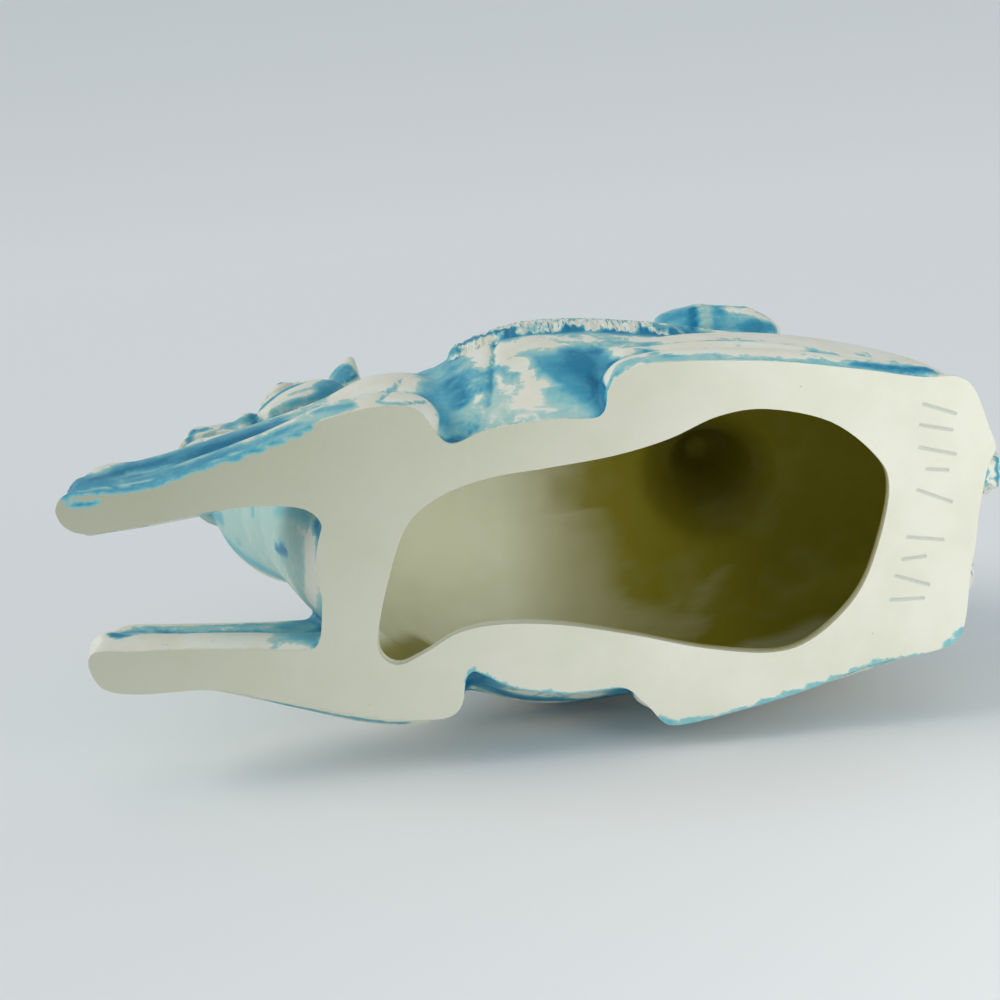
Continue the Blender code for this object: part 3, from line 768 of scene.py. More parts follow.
def comb(shift, mask, across, along, pitch, depth, seed):
    """Combed hair: wavy grooves side by side, broken into locks. Across and along are in mm."""
    for index in np.nonzero(mask > 0.02)[0]:
        place, run = across[index], along[index]
        drift = noise.noise(Vector((place / DRIFT_SIZE[0], run / DRIFT_SIZE[1], seed)))
        lock = noise.noise(Vector((place / LOCK_SIZE[0], run / LOCK_SIZE[1], seed + LOCK_SEED)))
        strand = math.cos(math.tau * (place / pitch + 1.3 * drift))
        shift[index] += mask[index] * depth * MM * (strand * (0.75 + 0.7 * lock) + 0.6 * lock)


def head_form(form, side=1):
    """A form of the head where the turned head has it."""
    placed = []
    for x, y, z, half_width, half_depth in form:
        place = head_place(parts(side * x, y, z)) / MM
        placed.append((place.x, place.y, place.z, half_width, half_depth))
    return placed


def carve(camel, sole, hidden):
    """Press face, straps, hair and folds into the skin, but not into its sole and inside."""
    tree = surface_of(camel)
    places, outward = skin_arrays(camel.data)
    shift = np.zeros(len(places))

    def line(width, depth, points):
        path = on_skin(tree, [tuple(point) for point in points])
        press(places, shift, path, width * MM, depth * MM)

    for side in (1, -1):
        for width, depth, points in FACE_GROOVES:
            line(width, depth, [head_place(parts(side * x, y, z)) for x, y, z in points])
        for width, height, points in FACE_RIDGES:
            line(width, -height, [head_place(parts(side * x, y, z)) for x, y, z in points])
        for width, depth, points in BODY_GROOVES:
            line(width, depth, [parts(side * x, y, z) for x, y, z in points])
        for width, height, points in (*BODY_RISES, REINS):
            line(width, -height, [parts(side * x, y, z) for x, y, z in points])
        carve_border(line, side)
        carve_roll(line, side)
    for width, depth, pixels in SEEN_GROOVES:
        line(width, depth, [seen_at(tree, *pixel) for pixel in pixels])
    comb_hair(places, shift)
    places += outward * (shift * (1 - hidden) * (1 - sole))[:, None]
    places[:, 2] = np.maximum(places[:, 2], 0)
    camel.data.vertices.foreach_set("co", places.ravel())
    camel.data.update()


def scratch(camel):
    """Press the rows of shallow strokes into the underside."""
    places, _ = skin_arrays(camel.data)
    shift = np.zeros(len(places))
    for path in scratch_paths():
        press(places, shift, path, SCRATCH_WIDTH * MM, SCRATCH_DEPTH * MM)
    places[:, 2] -= np.where(places[:, 2] < SOLE_LEVEL, shift, 0)
    camel.data.vertices.foreach_set("co", places.ravel())
    camel.data.update()


def carve_border(line, side):
    """Zigzag along the blanket's hem."""
    zigzag = []
    for index in range(int((BLANKET_BACK - BLANKET_FRONT) / ZIGZAG_PITCH)):
        y = BLANKET_FRONT + ZIGZAG_PITCH * (index + 0.5)
        z = BLANKET_HEM + (ZIGZAG_MARGIN if index % 2 else BORDER - ZIGZAG_MARGIN)
        zigzag.append(parts(side * (trunk_side(y, z) + STRAP_REACH), y, z))
    for start, end in zip(zigzag, zigzag[1:]):
        line(*ZIGZAG_LINE, [start, end])


def roll_point(side, y, angle, spare=0.0):
    """A point round a packed roll."""
    x, _, z, half_width, half_depth = row_at(ROLL, y, column=1)
    across = (half_width + spare) * math.cos(angle)
    return parts(side * (x + across), y, z + (half_depth + spare) * math.sin(angle))


def carve_roll(line, side):
    """Folds along each roll, and the twist of its straps."""
    apart, many, *cut_size = ROLL_FOLDS
    for turn in range(-many, many + 1):
        line(*cut_size, [roll_point(side, y, math.radians(apart * turn)) for y in FOLD_PLACES])
    apart, many, *cut_size = STRAP_TWIST
    for low, high in ROLL_STRAPS:
        for turn in range(-many, many + 1):
            middle = math.radians(apart * turn)
            ends = ((low, middle - TWIST_LEAN), (high, middle + TWIST_LEAN))
            line(*cut_size, [roll_point(side, y, angle, ROLL_STRAP / MM) for y, angle in ends])


def around(places, x, y, radius):
    """Arc length, in mm, round an upright axis."""
    return np.arctan2(places[:, 0] / MM - x, places[:, 1] / MM - y) * radius


def fringe(places):
    """1 on the hanging threads of the blanket's fringe."""
    y, drop = places[:, 1] / MM, BLANKET_HEM - places[:, 2] / MM
    along = rise(y, BLANKET_FRONT, BLANKET_FRONT + 2) * rise(y, FRINGE_END, FRINGE_END - 2)
    return along * rise(drop, -0.5, 0.5) * (drop < TUFT_LENGTH) * (np.abs(places[:, 0]) > FLANK)


def comb_hair(places, shift):
    """Hair on hump top, forelock, brows, crest and tail, and the threads of the fringe."""
    x, y, height = (places / MM).T
    comb(shift, fringe(places), y, height, *FRINGE_COMB)
    hump_top = rise(height, SADDLE_BAND[1] + 1, SADDLE_BAND[1] + 4) * (y > HAIR_FRONT)
    comb(shift, hump_top, around(places, *HUMP_AXIS), height, *HUMP_COMB)
    mask = near_form(places, head_form(FORELOCK), spare=1.5, soft=2.5)
    comb(shift, mask, x, y, *FORELOCK_COMB)
    for side in (1, -1):
        mask = near_form(places, head_form(BROW, side), spare=0.5, soft=1.5) * (height > BROW_LEVEL)
        comb(shift, mask, y, x, *BROW_COMB)
    comb(shift, near_form(places, CREST, spare=1.5, soft=3), x, height, *CREST_COMB)
    mask = near_form(places, TAIL[3:], spare=1.5, soft=2)
    comb(shift, mask, around(places, *TAIL_AXIS), height, *TAIL_COMB)


def neighbours(mesh):
    """Both ends of every edge, and how many edges meet at every point."""
    ends = np.empty(len(mesh.edges) * 2, np.int64)
    mesh.edges.foreach_get("vertices", ends)
    ends = ends.reshape(-1, 2)
    count = np.bincount(ends.ravel(), minlength=len(mesh.vertices))
    return ends, np.maximum(count, 1)


def averaged(places, ends, count, rounds):
    """Places smoothed over neighbouring points."""
    result = places
    for _ in range(rounds):
        total = np.zeros_like(result)
        for column in range(result.shape[1]):
            total[:, column] = np.bincount(ends[:, 0], result[ends[:, 1], column], len(result))
            total[:, column] += np.bincount(ends[:, 1], result[ends[:, 0], column], len(result))
        result = 0.5 * result + 0.5 * total / count[:, None]
    return result


TABLE_GAP = 1.5 * MM
SWEEP_WIDTH = 5
SWEEP_FRONT = 4
SWEEP_BACK = 2.6
SWEEP_RADIUS = 1.6
SWEEP_STEPS = 16

# The photograph's camera: image size and focal length in pixels, its place, tilt and roll
IMAGE_SIZE = 1000
FOCAL_PIXELS = 1762
SENSOR = 36
CAMERA_PLACE = Vector((97.607, 116.643, -421.714)) * MM
TILT_PIXELS = 351
CAMERA_TILT = math.atan(TILT_PIXELS / FOCAL_PIXELS)
CAMERA_ROLL = math.radians(5.6)


def camera_axes():
    """The image's right and up, and the way the camera looks."""
    lean = Vector((math.cos(CAMERA_ROLL), math.sin(CAMERA_ROLL), 0))
    ahead = Vector((0, 0, 1))
    right = Vector((-math.sin(CAMERA_ROLL), math.cos(CAMERA_ROLL), 0))
    upward = math.cos(CAMERA_TILT) * lean + math.sin(CAMERA_TILT) * ahead
    forward = math.cos(CAMERA_TILT) * ahead - math.sin(CAMERA_TILT) * lean
    return right, upward, forward


def seen_at(tree, across, down):
    """The place on the skin that a pixel of the photograph shows, or None beside it."""
    right, upward, forward = camera_axes()
    half = IMAGE_SIZE / 2
    ray = forward + (across - half) / FOCAL_PIXELS * right + (half - down) / FOCAL_PIXELS * upward
    return tree.ray_cast(CAMERA_PLACE, ray)[0]


# Brushwork: amount of wash, half width in millimetres, strength, and the points that the stroke
# runs through in the photograph's view. Strokes on walls and on the flat underside are kept apart.
WALL_STROKES = (
    (0.05, 5, 0.9, (345, 396), (372, 384), (400, 380), (416, 384)),
    (0.05, 2.2, 0.9, (345, 411), (372, 406), (400, 406), (418, 408), (430, 420), (442, 432)),
    (0.64, 2, 0.85, (268, 699), (300, 707), (343, 715), (365, 719), (385, 721), (405, 722)),
    (0.27, 2.4, 0.8, (140, 637), (200, 638), (255, 636), (296, 632)),
    (0.72, 2.4, 0.9, (474, 678), (490, 688), (520, 696), (560, 700), (600, 698), (625, 690)),
    (0.85, 6, 0.95, (60, 496), (90, 483), (130, 474), (165, 464), (200, 450), (240, 436)),
    (0.8, 5, 0.95, (240, 436), (262, 428), (288, 420)),
    (0.7, 2.8, 0.95, (60, 500), (95, 490), (130, 484), (165, 475), (200, 464), (240, 450), (275, 437),
     (300, 427)),
    (0.5, 2.2, 0.9, (300, 428), (325, 417), (348, 409)),
    (0.35, 3.2, 0.8, (292, 418), (312, 412), (335, 404)),
    (0.65, 1.3, 0.85, (318, 411), (332, 408), (350, 405)),
    (0.4, 1.6, 0.8, (275, 443), (300, 432), (325, 422), (340, 416)),
    (1, 1.2, 0.8, (90, 480), (130, 470), (170, 458)),
    (0.42, 1, 0.8, (118, 482), (128, 474), (150, 472), (168, 465)),
    (0.42, 0.9, 0.8, (238, 432), (250, 426), (262, 426), (270, 421)),
    (1, 1.3, 0.8, (205, 450), (235, 440), (262, 430), (285, 420)),
    # Painted highlight: cream lines along the lit ridge of the left foreleg
    (0.2, 0.3, 0.8, (64, 496), (84, 491), (122, 485), (150, 480)),
    (0.15, 0.5, 0.85, (205, 466), (230, 456), (255, 449), (280, 440), (300, 431)),
    (0.25, 0.9, 0.8, (289, 414), (300, 420), (318, 417)),
    (0.55, 0.6, 0.75, (378, 402), (389, 392), (401, 380)),
    (0.55, 0.6, 0.75, (382, 403), (400, 404), (424, 402)),
    (0.56, 4.2, 0.9, (430, 366), (440, 380), (450, 396), (456, 410)),
    (0.62, 3, 0.85, (428, 385), (434, 400), (442, 416), (450, 430)),
    (0.75, 2.6, 0.8, (456, 366), (468, 372), (480, 376), (486, 388)),
    (1, 2.4, 0.95, (452, 382), (458, 392), (462, 404)),
    (0.4, 1.8, 0.8, (457, 416), (460, 430)),
    (0.05, 3.4, 0.9, (462, 348), (474, 349), (484, 352)),
    (0.15, 2.2, 0.8, (474, 408), (484, 414), (492, 420)),
    (0.8, 0.55, 0.9, (494, 336), (492, 355), (491, 380), (489, 402)),
    (1, 1.3, 0.95, (461, 344), (474, 338), (494, 332), (512, 329)),
    (0.85, 1.6, 0.9, (448, 352), (462, 348), (478, 340)),
    (0.05, 1.6, 0.9, (466, 347), (480, 341), (492, 338)),
    (0.05, 3.4, 0.9, (502, 346), (514, 352), (526, 348)),
    (0.7, 2, 0.8, (498, 368), (508, 374), (518, 376)),
    (1.1, 5.6, 0.95, (564, 364), (578, 366), (590, 374)),
    (0.8, 3.2, 0.9, (544, 360), (556, 366), (568, 376), (582, 392), (596, 404)),
    (0.5, 2, 0.85, (522, 354), (534, 354), (548, 352), (570, 350)),
    (1, 2.2, 0.9, (572, 352), (584, 354), (596, 352)),
    (0.7, 2.2, 0.8, (536, 362), (546, 372), (560, 386), (578, 404), (596, 414)),
    (0.32, 4.6, 0.85, (502, 398), (522, 396), (540, 402), (560, 412)),
    (0.3, 3.6, 0.85, (500, 414), (525, 416), (550, 418), (580, 416)),
    (0.48, 2.2, 0.75, (534, 396), (547, 402), (562, 410)),
    (0.06, 1.3, 0.8, (522, 398), (532, 388), (546, 384)),
    (0.1, 1, 0.8, (512, 408), (530, 404), (552, 410)),
    (0.35, 1.2, 0.85, (560, 341), (580, 343), (602, 344)),
    (0.06, 1, 0.85, (530, 344), (550, 344), (566, 346)),
    (1, 1.8, 0.9, (601, 392), (604, 404), (606, 416)),
    (0.7, 2, 0.85, (598, 374), (600, 364), (608, 356)),
    (0.75, 1.4, 0.85, (606, 396), (610, 384), (618, 372), (632, 364)),
    (0.05, 2, 0.85, (618, 352), (630, 350)),
    (0.05, 4, 0.95, (640, 340), (690, 336), (730, 335), (770, 338), (810, 345), (850, 354)),
    (0.05, 2.4, 0.9, (660, 348), (700, 345), (740, 346), (780, 348), (840, 356), (950, 368)),
    (0.44, 2.2, 0.95, (620, 366), (634, 360), (680, 358), (720, 358), (760, 360), (800, 363), (850, 367)),
    (0.7, 0.8, 0.8, (640, 349), (655, 353), (675, 357)),
    (0.95, 1.5, 0.9, (855, 364), (880, 367), (905, 369), (930, 370)),
    (0.7, 4.5, 0.95, (664, 320), (676, 314), (688, 318)),
    (0.6, 3, 0.95, (660, 326), (676, 326), (690, 324)),
    (1, 1.3, 0.95, (692, 309), (693, 320), (693, 328)),
    (0.3, 1.8, 0.9, (704, 306), (706, 316), (707, 326)),
    (0.75, 2, 0.9, (719, 308), (720, 320), (720, 328)),
    (0.08, 2, 0.85, (732, 309), (748, 311), (762, 318)),
    (0.6, 3, 0.9, (728, 324), (742, 322), (756, 324)),
    (0.8, 2.2, 0.9, (748, 328), (760, 326), (772, 328)),
    (0.31, 16, 1, (215, 525), (245, 522), (280, 530), (296, 570)),
    (0.31, 12, 1, (250, 545), (275, 565), (300, 600)),
    (0.62, 2.2, 0.8, (206, 512), (214, 515), (222, 519)),
    (0.6, 1, 0.8, (252, 508), (253, 514)),
    (0.6, 1.6, 0.7, (276, 510), (296, 512), (308, 520)),
    (1, 1, 1, (276, 548), (281, 551), (286, 552)),
    (1, 1, 1, (279, 545), (284, 549)),
    (0.8, 0.6, 0.8, (238, 541), (242, 545)),
    (0.62, 2.2, 0.75, (226, 540), (245, 558), (262, 568), (285, 580)),
    (0.62, 2, 0.75, (292, 590), (302, 600), (306, 612)),
    # Painted light: a lighter band on the chest wall beside the underside
    (0.12, 2.6, 0.85, (311, 542), (311, 575), (310, 600)),
    (1, 1.5, 0.9, (317, 524), (320, 536), (321, 548)),
    (0.55, 0.5, 0.8, (324, 552), (323, 590), (321, 640)),
    (0.75, 2.8, 0.85, (286, 628), (300, 622), (313, 612)),
    (0.55, 3, 0.85, (270, 634), (290, 636), (312, 636)),
    (0.5, 1.2, 0.85, (132, 629), (160, 627.5), (200, 626.5), (235, 625.5)),
    (0.6, 1.2, 0.85, (235, 625.5), (262, 624.5), (290, 624)),
    (0.05, 3, 0.9, (130, 640), (180, 636), (230, 635), (262, 635)),
    (0.6, 2.6, 0.85, (290, 632), (304, 634), (314, 640)),
    (1, 1.6, 1, (113, 634), (121, 636), (129, 633)),
    (1, 2.4, 0.95, (470, 684), (480, 680), (495, 690), (520, 698), (556, 700), (600, 699), (625, 694)),
    # Painted highlights: cream patches in the blue band along the recess
    (0.08, 0.9, 0.9, (506, 700), (525, 702)),
    (0.1, 0.9, 0.9, (573, 704), (590, 703), (606, 701)),
    (0.08, 1, 0.8, (462, 706), (468, 694), (474, 686)),
    (1, 1.6, 0.9, (632, 694), (636, 704)),
    (0.8, 1.4, 0.9, (668, 719), (720, 715), (770, 705), (848, 683)),
    (0.8, 1, 0.9, (997, 458), (997, 470), (998, 486)),
    (0.7, 0.8, 0.85, (966, 388), (976, 404), (988, 428), (996, 446)),
    (0.6, 0.7, 0.8, (976, 545), (970, 590), (966, 625)),
    (0.9, 1.8, 0.85, (190, 438), (194, 432), (204, 429)),
    (0.12, 2.2, 0.8, (200, 438), (214, 432), (228, 427)),
    (0.4, 1, 0.8, (204, 436), (218, 430), (232, 424)),
    (0.7, 2.2, 0.8, (228, 425), (240, 421), (256, 417)),
    (0.85, 1.6, 0.85, (262, 408), (270, 400), (280, 392), (298, 385)),
    (0.1, 3.4, 0.85, (284, 398), (300, 394), (320, 390)),
    (0.5, 1.3, 0.8, (272, 412), (286, 404), (300, 400)),
    (0.42, 1.2, 0.8, (290, 394), (304, 390), (318, 386)),
    (0.6, 1.4, 0.8, (312, 398), (326, 393), (340, 385)),
    (0.7, 1.4, 0.8, (292, 404), (312, 399), (330, 393)),
    (0.8, 3.4, 0.9, (326, 388), (338, 379), (346, 370)),
    (0.6, 1.6, 0.85, (318, 384), (328, 378), (338, 368)),
    (0.1, 0.9, 0.9, (344, 362), (352, 364), (358, 372)),
    (0.9, 0.8, 0.9, (348, 380), (356, 376)),
)
SOLE_STROKES = (
    (0.75, 1, 0.95, (58, 500), (80, 493), (104, 491), (125, 490), (146, 486), (166, 480)),
    (0.75, 0.9, 0.9, (166, 479), (190, 471), (215, 463), (238, 457)),
    (0.75, 0.9, 0.9, (238, 456), (262, 448), (285, 439), (310, 428)),
    (0.8, 0.8, 0.95, (71, 507), (84, 504), (97, 501)),
    (0.35, 0.8, 0.6, (424, 414), (432, 424), (440, 434), (448, 440)),
    (0.3, 1.2, 0.5, (470, 434), (500, 426), (540, 424), (580, 422)),
    (0.4, 0.5, 0.6, (640, 366), (680, 364), (730, 364), (775, 366)),
    (0.6, 0.6, 0.8, (868, 369), (900, 374), (935, 377)),
    (0.6, 1.2, 0.8, (944, 646), (955, 638), (962, 630)),
    (0.3, 1.4, 0.6, (426, 712), (438, 703)),
    (0.5, 0.5, 0.7, (97, 657), (95, 660)),
    (0.7, 0.8, 0.8, (470, 676), (478, 678), (486, 684)),
)
# Wash that creeps over the rim of the underside: wash, half width, strength and the rim's x and y
EDGE_STAINS = (
    (0.55, 1.4, 0.95, (-45.6, 142.8), (-47.6, 147), (-46.6, 153)),
    (0.48, 0.95, 0.95, (-46.6, 153), (-45.8, 160), (-44, 169)),
    (0.52, 1.3, 0.95, (-44, 169), (-41.8, 179), (-39.5, 187)),
    (0.48, 0.8, 0.9, (-39.5, 187), (-36.4, 196), (-35, 209)),
    (0.6, 0.5, 0.9, (-31, 95.4), (-28.4, 96.8), (-29.4, 99.6), (-34.2, 108), (-36.8, 122), (-36.6, 134.6)),
)
# Painted shade and painted light of the inside, along strokes drawn in the camera's view through the hole
INSIDE_SHADE_STROKES = (
    (0.86, 1.6, 0.8, (690, 643), (696, 620), (701, 600), (710, 583), (722, 571), (738, 565)),
    (0.62, 5, 0.8, (744, 648), (790, 640), (830, 620), (866, 600)),
    (1, 9, 0.8, (585, 490), (608, 481), (632, 473), (660, 466)),
    (0.9, 5, 0.9, (391, 656), (405, 652), (424, 644)),
    (0.62, 6, 0.7, (600, 610), (640, 622), (680, 630)),
)

CALM_WIDTH = 10              # strokes wider than this, in mm, dry evenly
SETTLING = 0.6               # and the others this much
STROKE_REACH = 1.5           # where strokes and stains end, in half widths
STAIN_REACH = 1.6
STAIN_ON_WALL = 0.2          # how much more wash a stain leaves beside the underside
MOST_WASH = 1.1
BASE_WASH = 0.4
FINE_POOLS = (0.85, -0.3, 0.5)      # wash per mm of recess, and between which recesses
BROAD_POOLS = (0.3, -1.2, 1.2)
FINE_ROUNDS = 8
BROAD_ROUNDS = 60
THREAD_SEEDS = (3, 17, 29)
TOOTH = 1.6 * TUFT_PITCH     # pitch of the fringe's uneven lower edge
TOOTH_DROP = 5.5


def brush(places, amount, settled, allowed, tree, strokes):
    """Lay strokes of wash, or of painted shade inside, each a drawn line on the skin, over what is there."""
    for target, half_width, strength, *pixels in strokes:
        drawn = [seen_at(tree, *pixel) for pixel in smooth_row(pixels, 3)]
        path = [np.array(place) for place in drawn if place is not None]
        if not path:
            continue
        gap = distance_to_path(places, path + path[-1:]) / (half_width * MM)
        cover = strength * allowed * np.clip(STROKE_REACH - gap, 0, 1)
        amount += cover * (target - amount)
        settled += cover * (1 - settled) * (1 if half_width > CALM_WIDTH else SETTLING)


def thread_wash(place, drop):
    """Wash on the fringe: bare threads that hang unevenly, deep blue between and below them."""
    x, y, z = place
    drift_seed, hang_seed, split_seed = THREAD_SEEDS
    drift = noise.noise(Vector((y / 9, z / 14, drift_seed)))
    hang = noise.noise(Vector((y / 6, 0, hang_seed + x / 80)))
    split = noise.noise(Vector((y / 1.1, z / 9, split_seed)))
    tooth = abs(((y + 0.3 * z) / TOOTH + 0.5 * drift) % 1 - 0.5) * 2
    gap = max(0, TOOTH_DROP * tooth * (0.8 + 1.6 * hang) - 0.5) + 1.6 * split
    bare = min(max((-drop - gap) / 1.6 + 0.5, 0), 1)
    dark = 0.5 * max(split - 0.12, 0) + 0.25 * max(drift, 0)
    return 1.0 - bare * (0.9 - dark)


def pooled_wash(mesh, places, outward, threads):
    """Wash as it pools in recesses, and more or less of it on some stretches of the body."""
    ends, count = neighbours(mesh)
    fine = averaged(places, ends, count, FINE_ROUNDS)
    broad = averaged(fine, ends, count, BROAD_ROUNDS)
    wash = BASE_WASH
    for near, wide, (amount, least, most) in ((places, fine, FINE_POOLS), (fine, broad, BROAD_POOLS)):
        wash = wash + amount * np.clip(((wide - near) * outward).sum(axis=1) / MM, least, most)
    _, y, z = (places / MM).T
    wash -= 0.08 * rise(z, 108, 120)
    wash += 0.1 * rise(z, 20, 8)
    wash += 0.1 * rise(y, 140, 170) * rise(z, 60, 68)
    drop = BLANKET_HEM - TUFT_LENGTH - z
    for index in np.nonzero(threads > 0)[0]:
        wash[index] += threads[index] * (thread_wash(places[index] / MM, drop[index]) - wash[index])
    under = (np.abs(places[:, 0]) > FLANK) * (y > BLANKET_FRONT) * (y < FRINGE_END) * (drop > 0)
    return wash + under * 0.3 * rise(drop, 5, 0)


def paint(camel, inside):
    """Attributes that the finish reads, each from 0 to about 1 at every point of the skin."""
    mesh = camel.data
    places, outward = skin_arrays(mesh)
    x, y, _ = (places / MM).T
    sole, hidden = skin_masks(camel, inside)
    wall = (1 - sole) * (1 - hidden)
    threads = fringe(places)
    wash = pooled_wash(mesh, places, outward, threads)
    tree = surface_of(camel)
    settled = np.zeros(len(places))
    brush(places, wash, settled, wall, tree, WALL_STROKES)
    for side in (1, -1):
        pupil, _, _, _ = tree.find_nearest(head_place(parts(side * PUPIL[0], *PUPIL[1:])))
        gap = np.sqrt(((places - np.array(pupil)) ** 2).sum(axis=1)) / MM
        wash += np.clip(PUPIL_RADIUS + 0.5 - gap, 0, 1) * (1 - wash)
    stain = np.zeros(len(places))
    brush(places, stain, settled, sole, tree, SOLE_STROKES)
    for target, half_width, strength, *points in EDGE_STAINS:
        path = [np.array(parts(x_rim, y_rim, 0)) for x_rim, y_rim in smooth_row(points, 4)]
        gap = distance_to_path(places, path) / (half_width * MM)
        cover = strength * np.clip(STAIN_REACH - gap, 0, 1)
        stain += cover * sole * (target - stain)
        wash += cover * wall * (target + STAIN_ON_WALL - wash)
    scratched = np.zeros(len(places))
    for path in scratch_paths():
        gap = distance_to_path(places, path) / (SCRATCH_WIDTH * MM)
        scratched = np.maximum(scratched, sole * np.clip(STROKE_REACH - gap, 0, 1))
    # Painted shade of the inside: darker further back, then lighter or darker along the inside strokes
    deep = rise(y, 106, 142)
    brush(places, deep, settled, hidden, tree, INSIDE_SHADE_STROKES)
    # Painted shade on the underside and the walls: darker towards the front, most of all at the left front
    shaded_left_front = rise(x, -25, 35) * rise(y, 185, 145)
    for name, values in (
            ("wash", np.clip(wash, 0, MOST_WASH) * wall + stain * sole), ("brushed", settled),
            ("sole", sole), ("inside", hidden), ("deep", deep), ("scratched", scratched),
            ("painted_shade", 0.62 * rise(y, 150, 25) + 0.38 * shaded_left_front), ("thread", threads)):
        layer = mesh.attributes.new(name, "FLOAT", "POINT")
        layer.data.foreach_set("value", np.asarray(values, np.float32))


def linear(*channels):
    """A colour as the eye names it, in the shader's linear light."""
    return tuple(((c + 0.055) / 1.055) ** 2.4 if c > 0.04045 else c / 12.92 for c in channels) + (1,)


CREAM = linear(0.91, 0.90, 0.85)
WARM_CREAM = linear(0.90, 0.87, 0.80)
SOLE_CREAM = linear(0.91, 0.90, 0.84)
SOLE_SHADE = linear(0.88, 0.875, 0.80)
# Painted shade colours of the underside and of the walls
SOLE_PAINTED_SHADE = linear(0.71, 0.71, 0.62)
WALL_PAINTED_SHADE = linear(0.48, 0.55, 0.50)
# Lit and shaded copies of the inside's clay: painted light and painted shade
INSIDE_PAINTED_LIT = linear(0.98, 0.985, 0.90)
INSIDE_PAINTED_SHADE = linear(0.60, 0.56, 0.15)
PALE_AQUA = linear(0.69, 0.80, 0.77)
AQUA = linear(0.54, 0.76, 0.77)
BLUE = linear(0.29, 0.63, 0.73)
DEEP_BLUE = linear(0.0, 0.47, 0.62)
SPECK = linear(0.55, 0.55, 0.5)
SCRATCH_BLUE = linear(0.42, 0.54, 0.60)


class Nodes:
    """Short names for adding and joining a material's nodes."""

    def __init__(self, name):
        self.material = bpy.data.materials.new(name)
        self.material.use_nodes = True
        self.tree = self.material.node_tree
        self.shader = self.tree.nodes["Principled BSDF"]
        self.place = self.tree.nodes.new("ShaderNodeTexCoord").outputs["Object"]

    def join(self, source, socket):
        if isinstance(source, bpy.types.NodeSocket):
            self.tree.links.new(source, socket)
        else:
            socket.default_value = source

    def attribute(self, name):
        node = self.tree.nodes.new("ShaderNodeAttribute")
        node.attribute_name = name
        return node.outputs["Fac"]

    def stretched(self, across, along, upward):
        node = self.tree.nodes.new("ShaderNodeMapping")
        self.join(self.place, node.inputs["Vector"])
        node.inputs["Scale"].default_value = (across, along, upward)
        return node.outputs["Vector"]

    def noise(self, scale, detail=3.0, rough=0.55, place=None, warp=0.0):
        node = self.tree.nodes.new("ShaderNodeTexNoise")
        self.join(place or self.place, node.inputs["Vector"])
        node.inputs["Scale"].default_value = scale
        node.inputs["Detail"].default_value = detail
        node.inputs["Roughness"].default_value = rough
        node.inputs["Distortion"].default_value = warp
        return node.outputs["Fac"]

    def cells(self, scale):
        node = self.tree.nodes.new("ShaderNodeTexVoronoi")
        self.join(self.place, node.inputs["Vector"])
        node.inputs["Scale"].default_value = scale
        return node.outputs["Distance"]

    def math(self, kind, first, second=0.0, third=0.0):
        node = self.tree.nodes.new("ShaderNodeMath")
        node.operation = kind
        for value, socket in zip((first, second, third), node.inputs):
            self.join(value, socket)
        return node.outputs[0]

    def times(self, first, second):
        return self.math("MULTIPLY", first, second)

    def swing(self, value, amount, base):
        """A base with a value round one half, times an amount, added."""
        return self.math("MULTIPLY_ADD", self.math("SUBTRACT", value, 0.5), amount, base)

    def span(self, value, low, high, new_low=0.0, new_high=1.0):
        node = self.tree.nodes.new("ShaderNodeMapRange")
        node.interpolation_type = "SMOOTHSTEP"
        for name, item in (("Value", value), ("From Min", low), ("From Max", high),
                           ("To Min", new_low), ("To Max", new_high)):
            self.join(item, node.inputs[name])
        return node.outputs["Result"]

    def mix(self, share, first, second):
        node = self.tree.nodes.new("ShaderNodeMix")
        node.data_type = "RGBA"
        self.join(share, node.inputs["Factor"])
        ends = [item for item in node.inputs if item.type == "RGBA"]
        for colour, socket in zip((first, second), ends):
            self.join(colour, socket)
        return [item for item in node.outputs if item.type == "RGBA"][0]

    def ramp(self, value, stops):
        node = self.tree.nodes.new("ShaderNodeValToRGB")
        self.join(value, node.inputs["Fac"])
        elements = node.color_ramp.elements
        for index, (position, colour) in enumerate(stops):
            item = elements[index] if index < 2 else elements.new(position)
            item.position = position
            item.color = colour
        return node.outputs["Color"]

    def bump(self, height, distance, strength=1.0, normal=None):
        node = self.tree.nodes.new("ShaderNodeBump")
        node.inputs["Strength"].default_value = strength
        node.inputs["Distance"].default_value = distance
        self.join(height, node.inputs["Height"])
        if normal is not None:
            self.join(normal, node.inputs["Normal"])
        return node.outputs["Normal"]


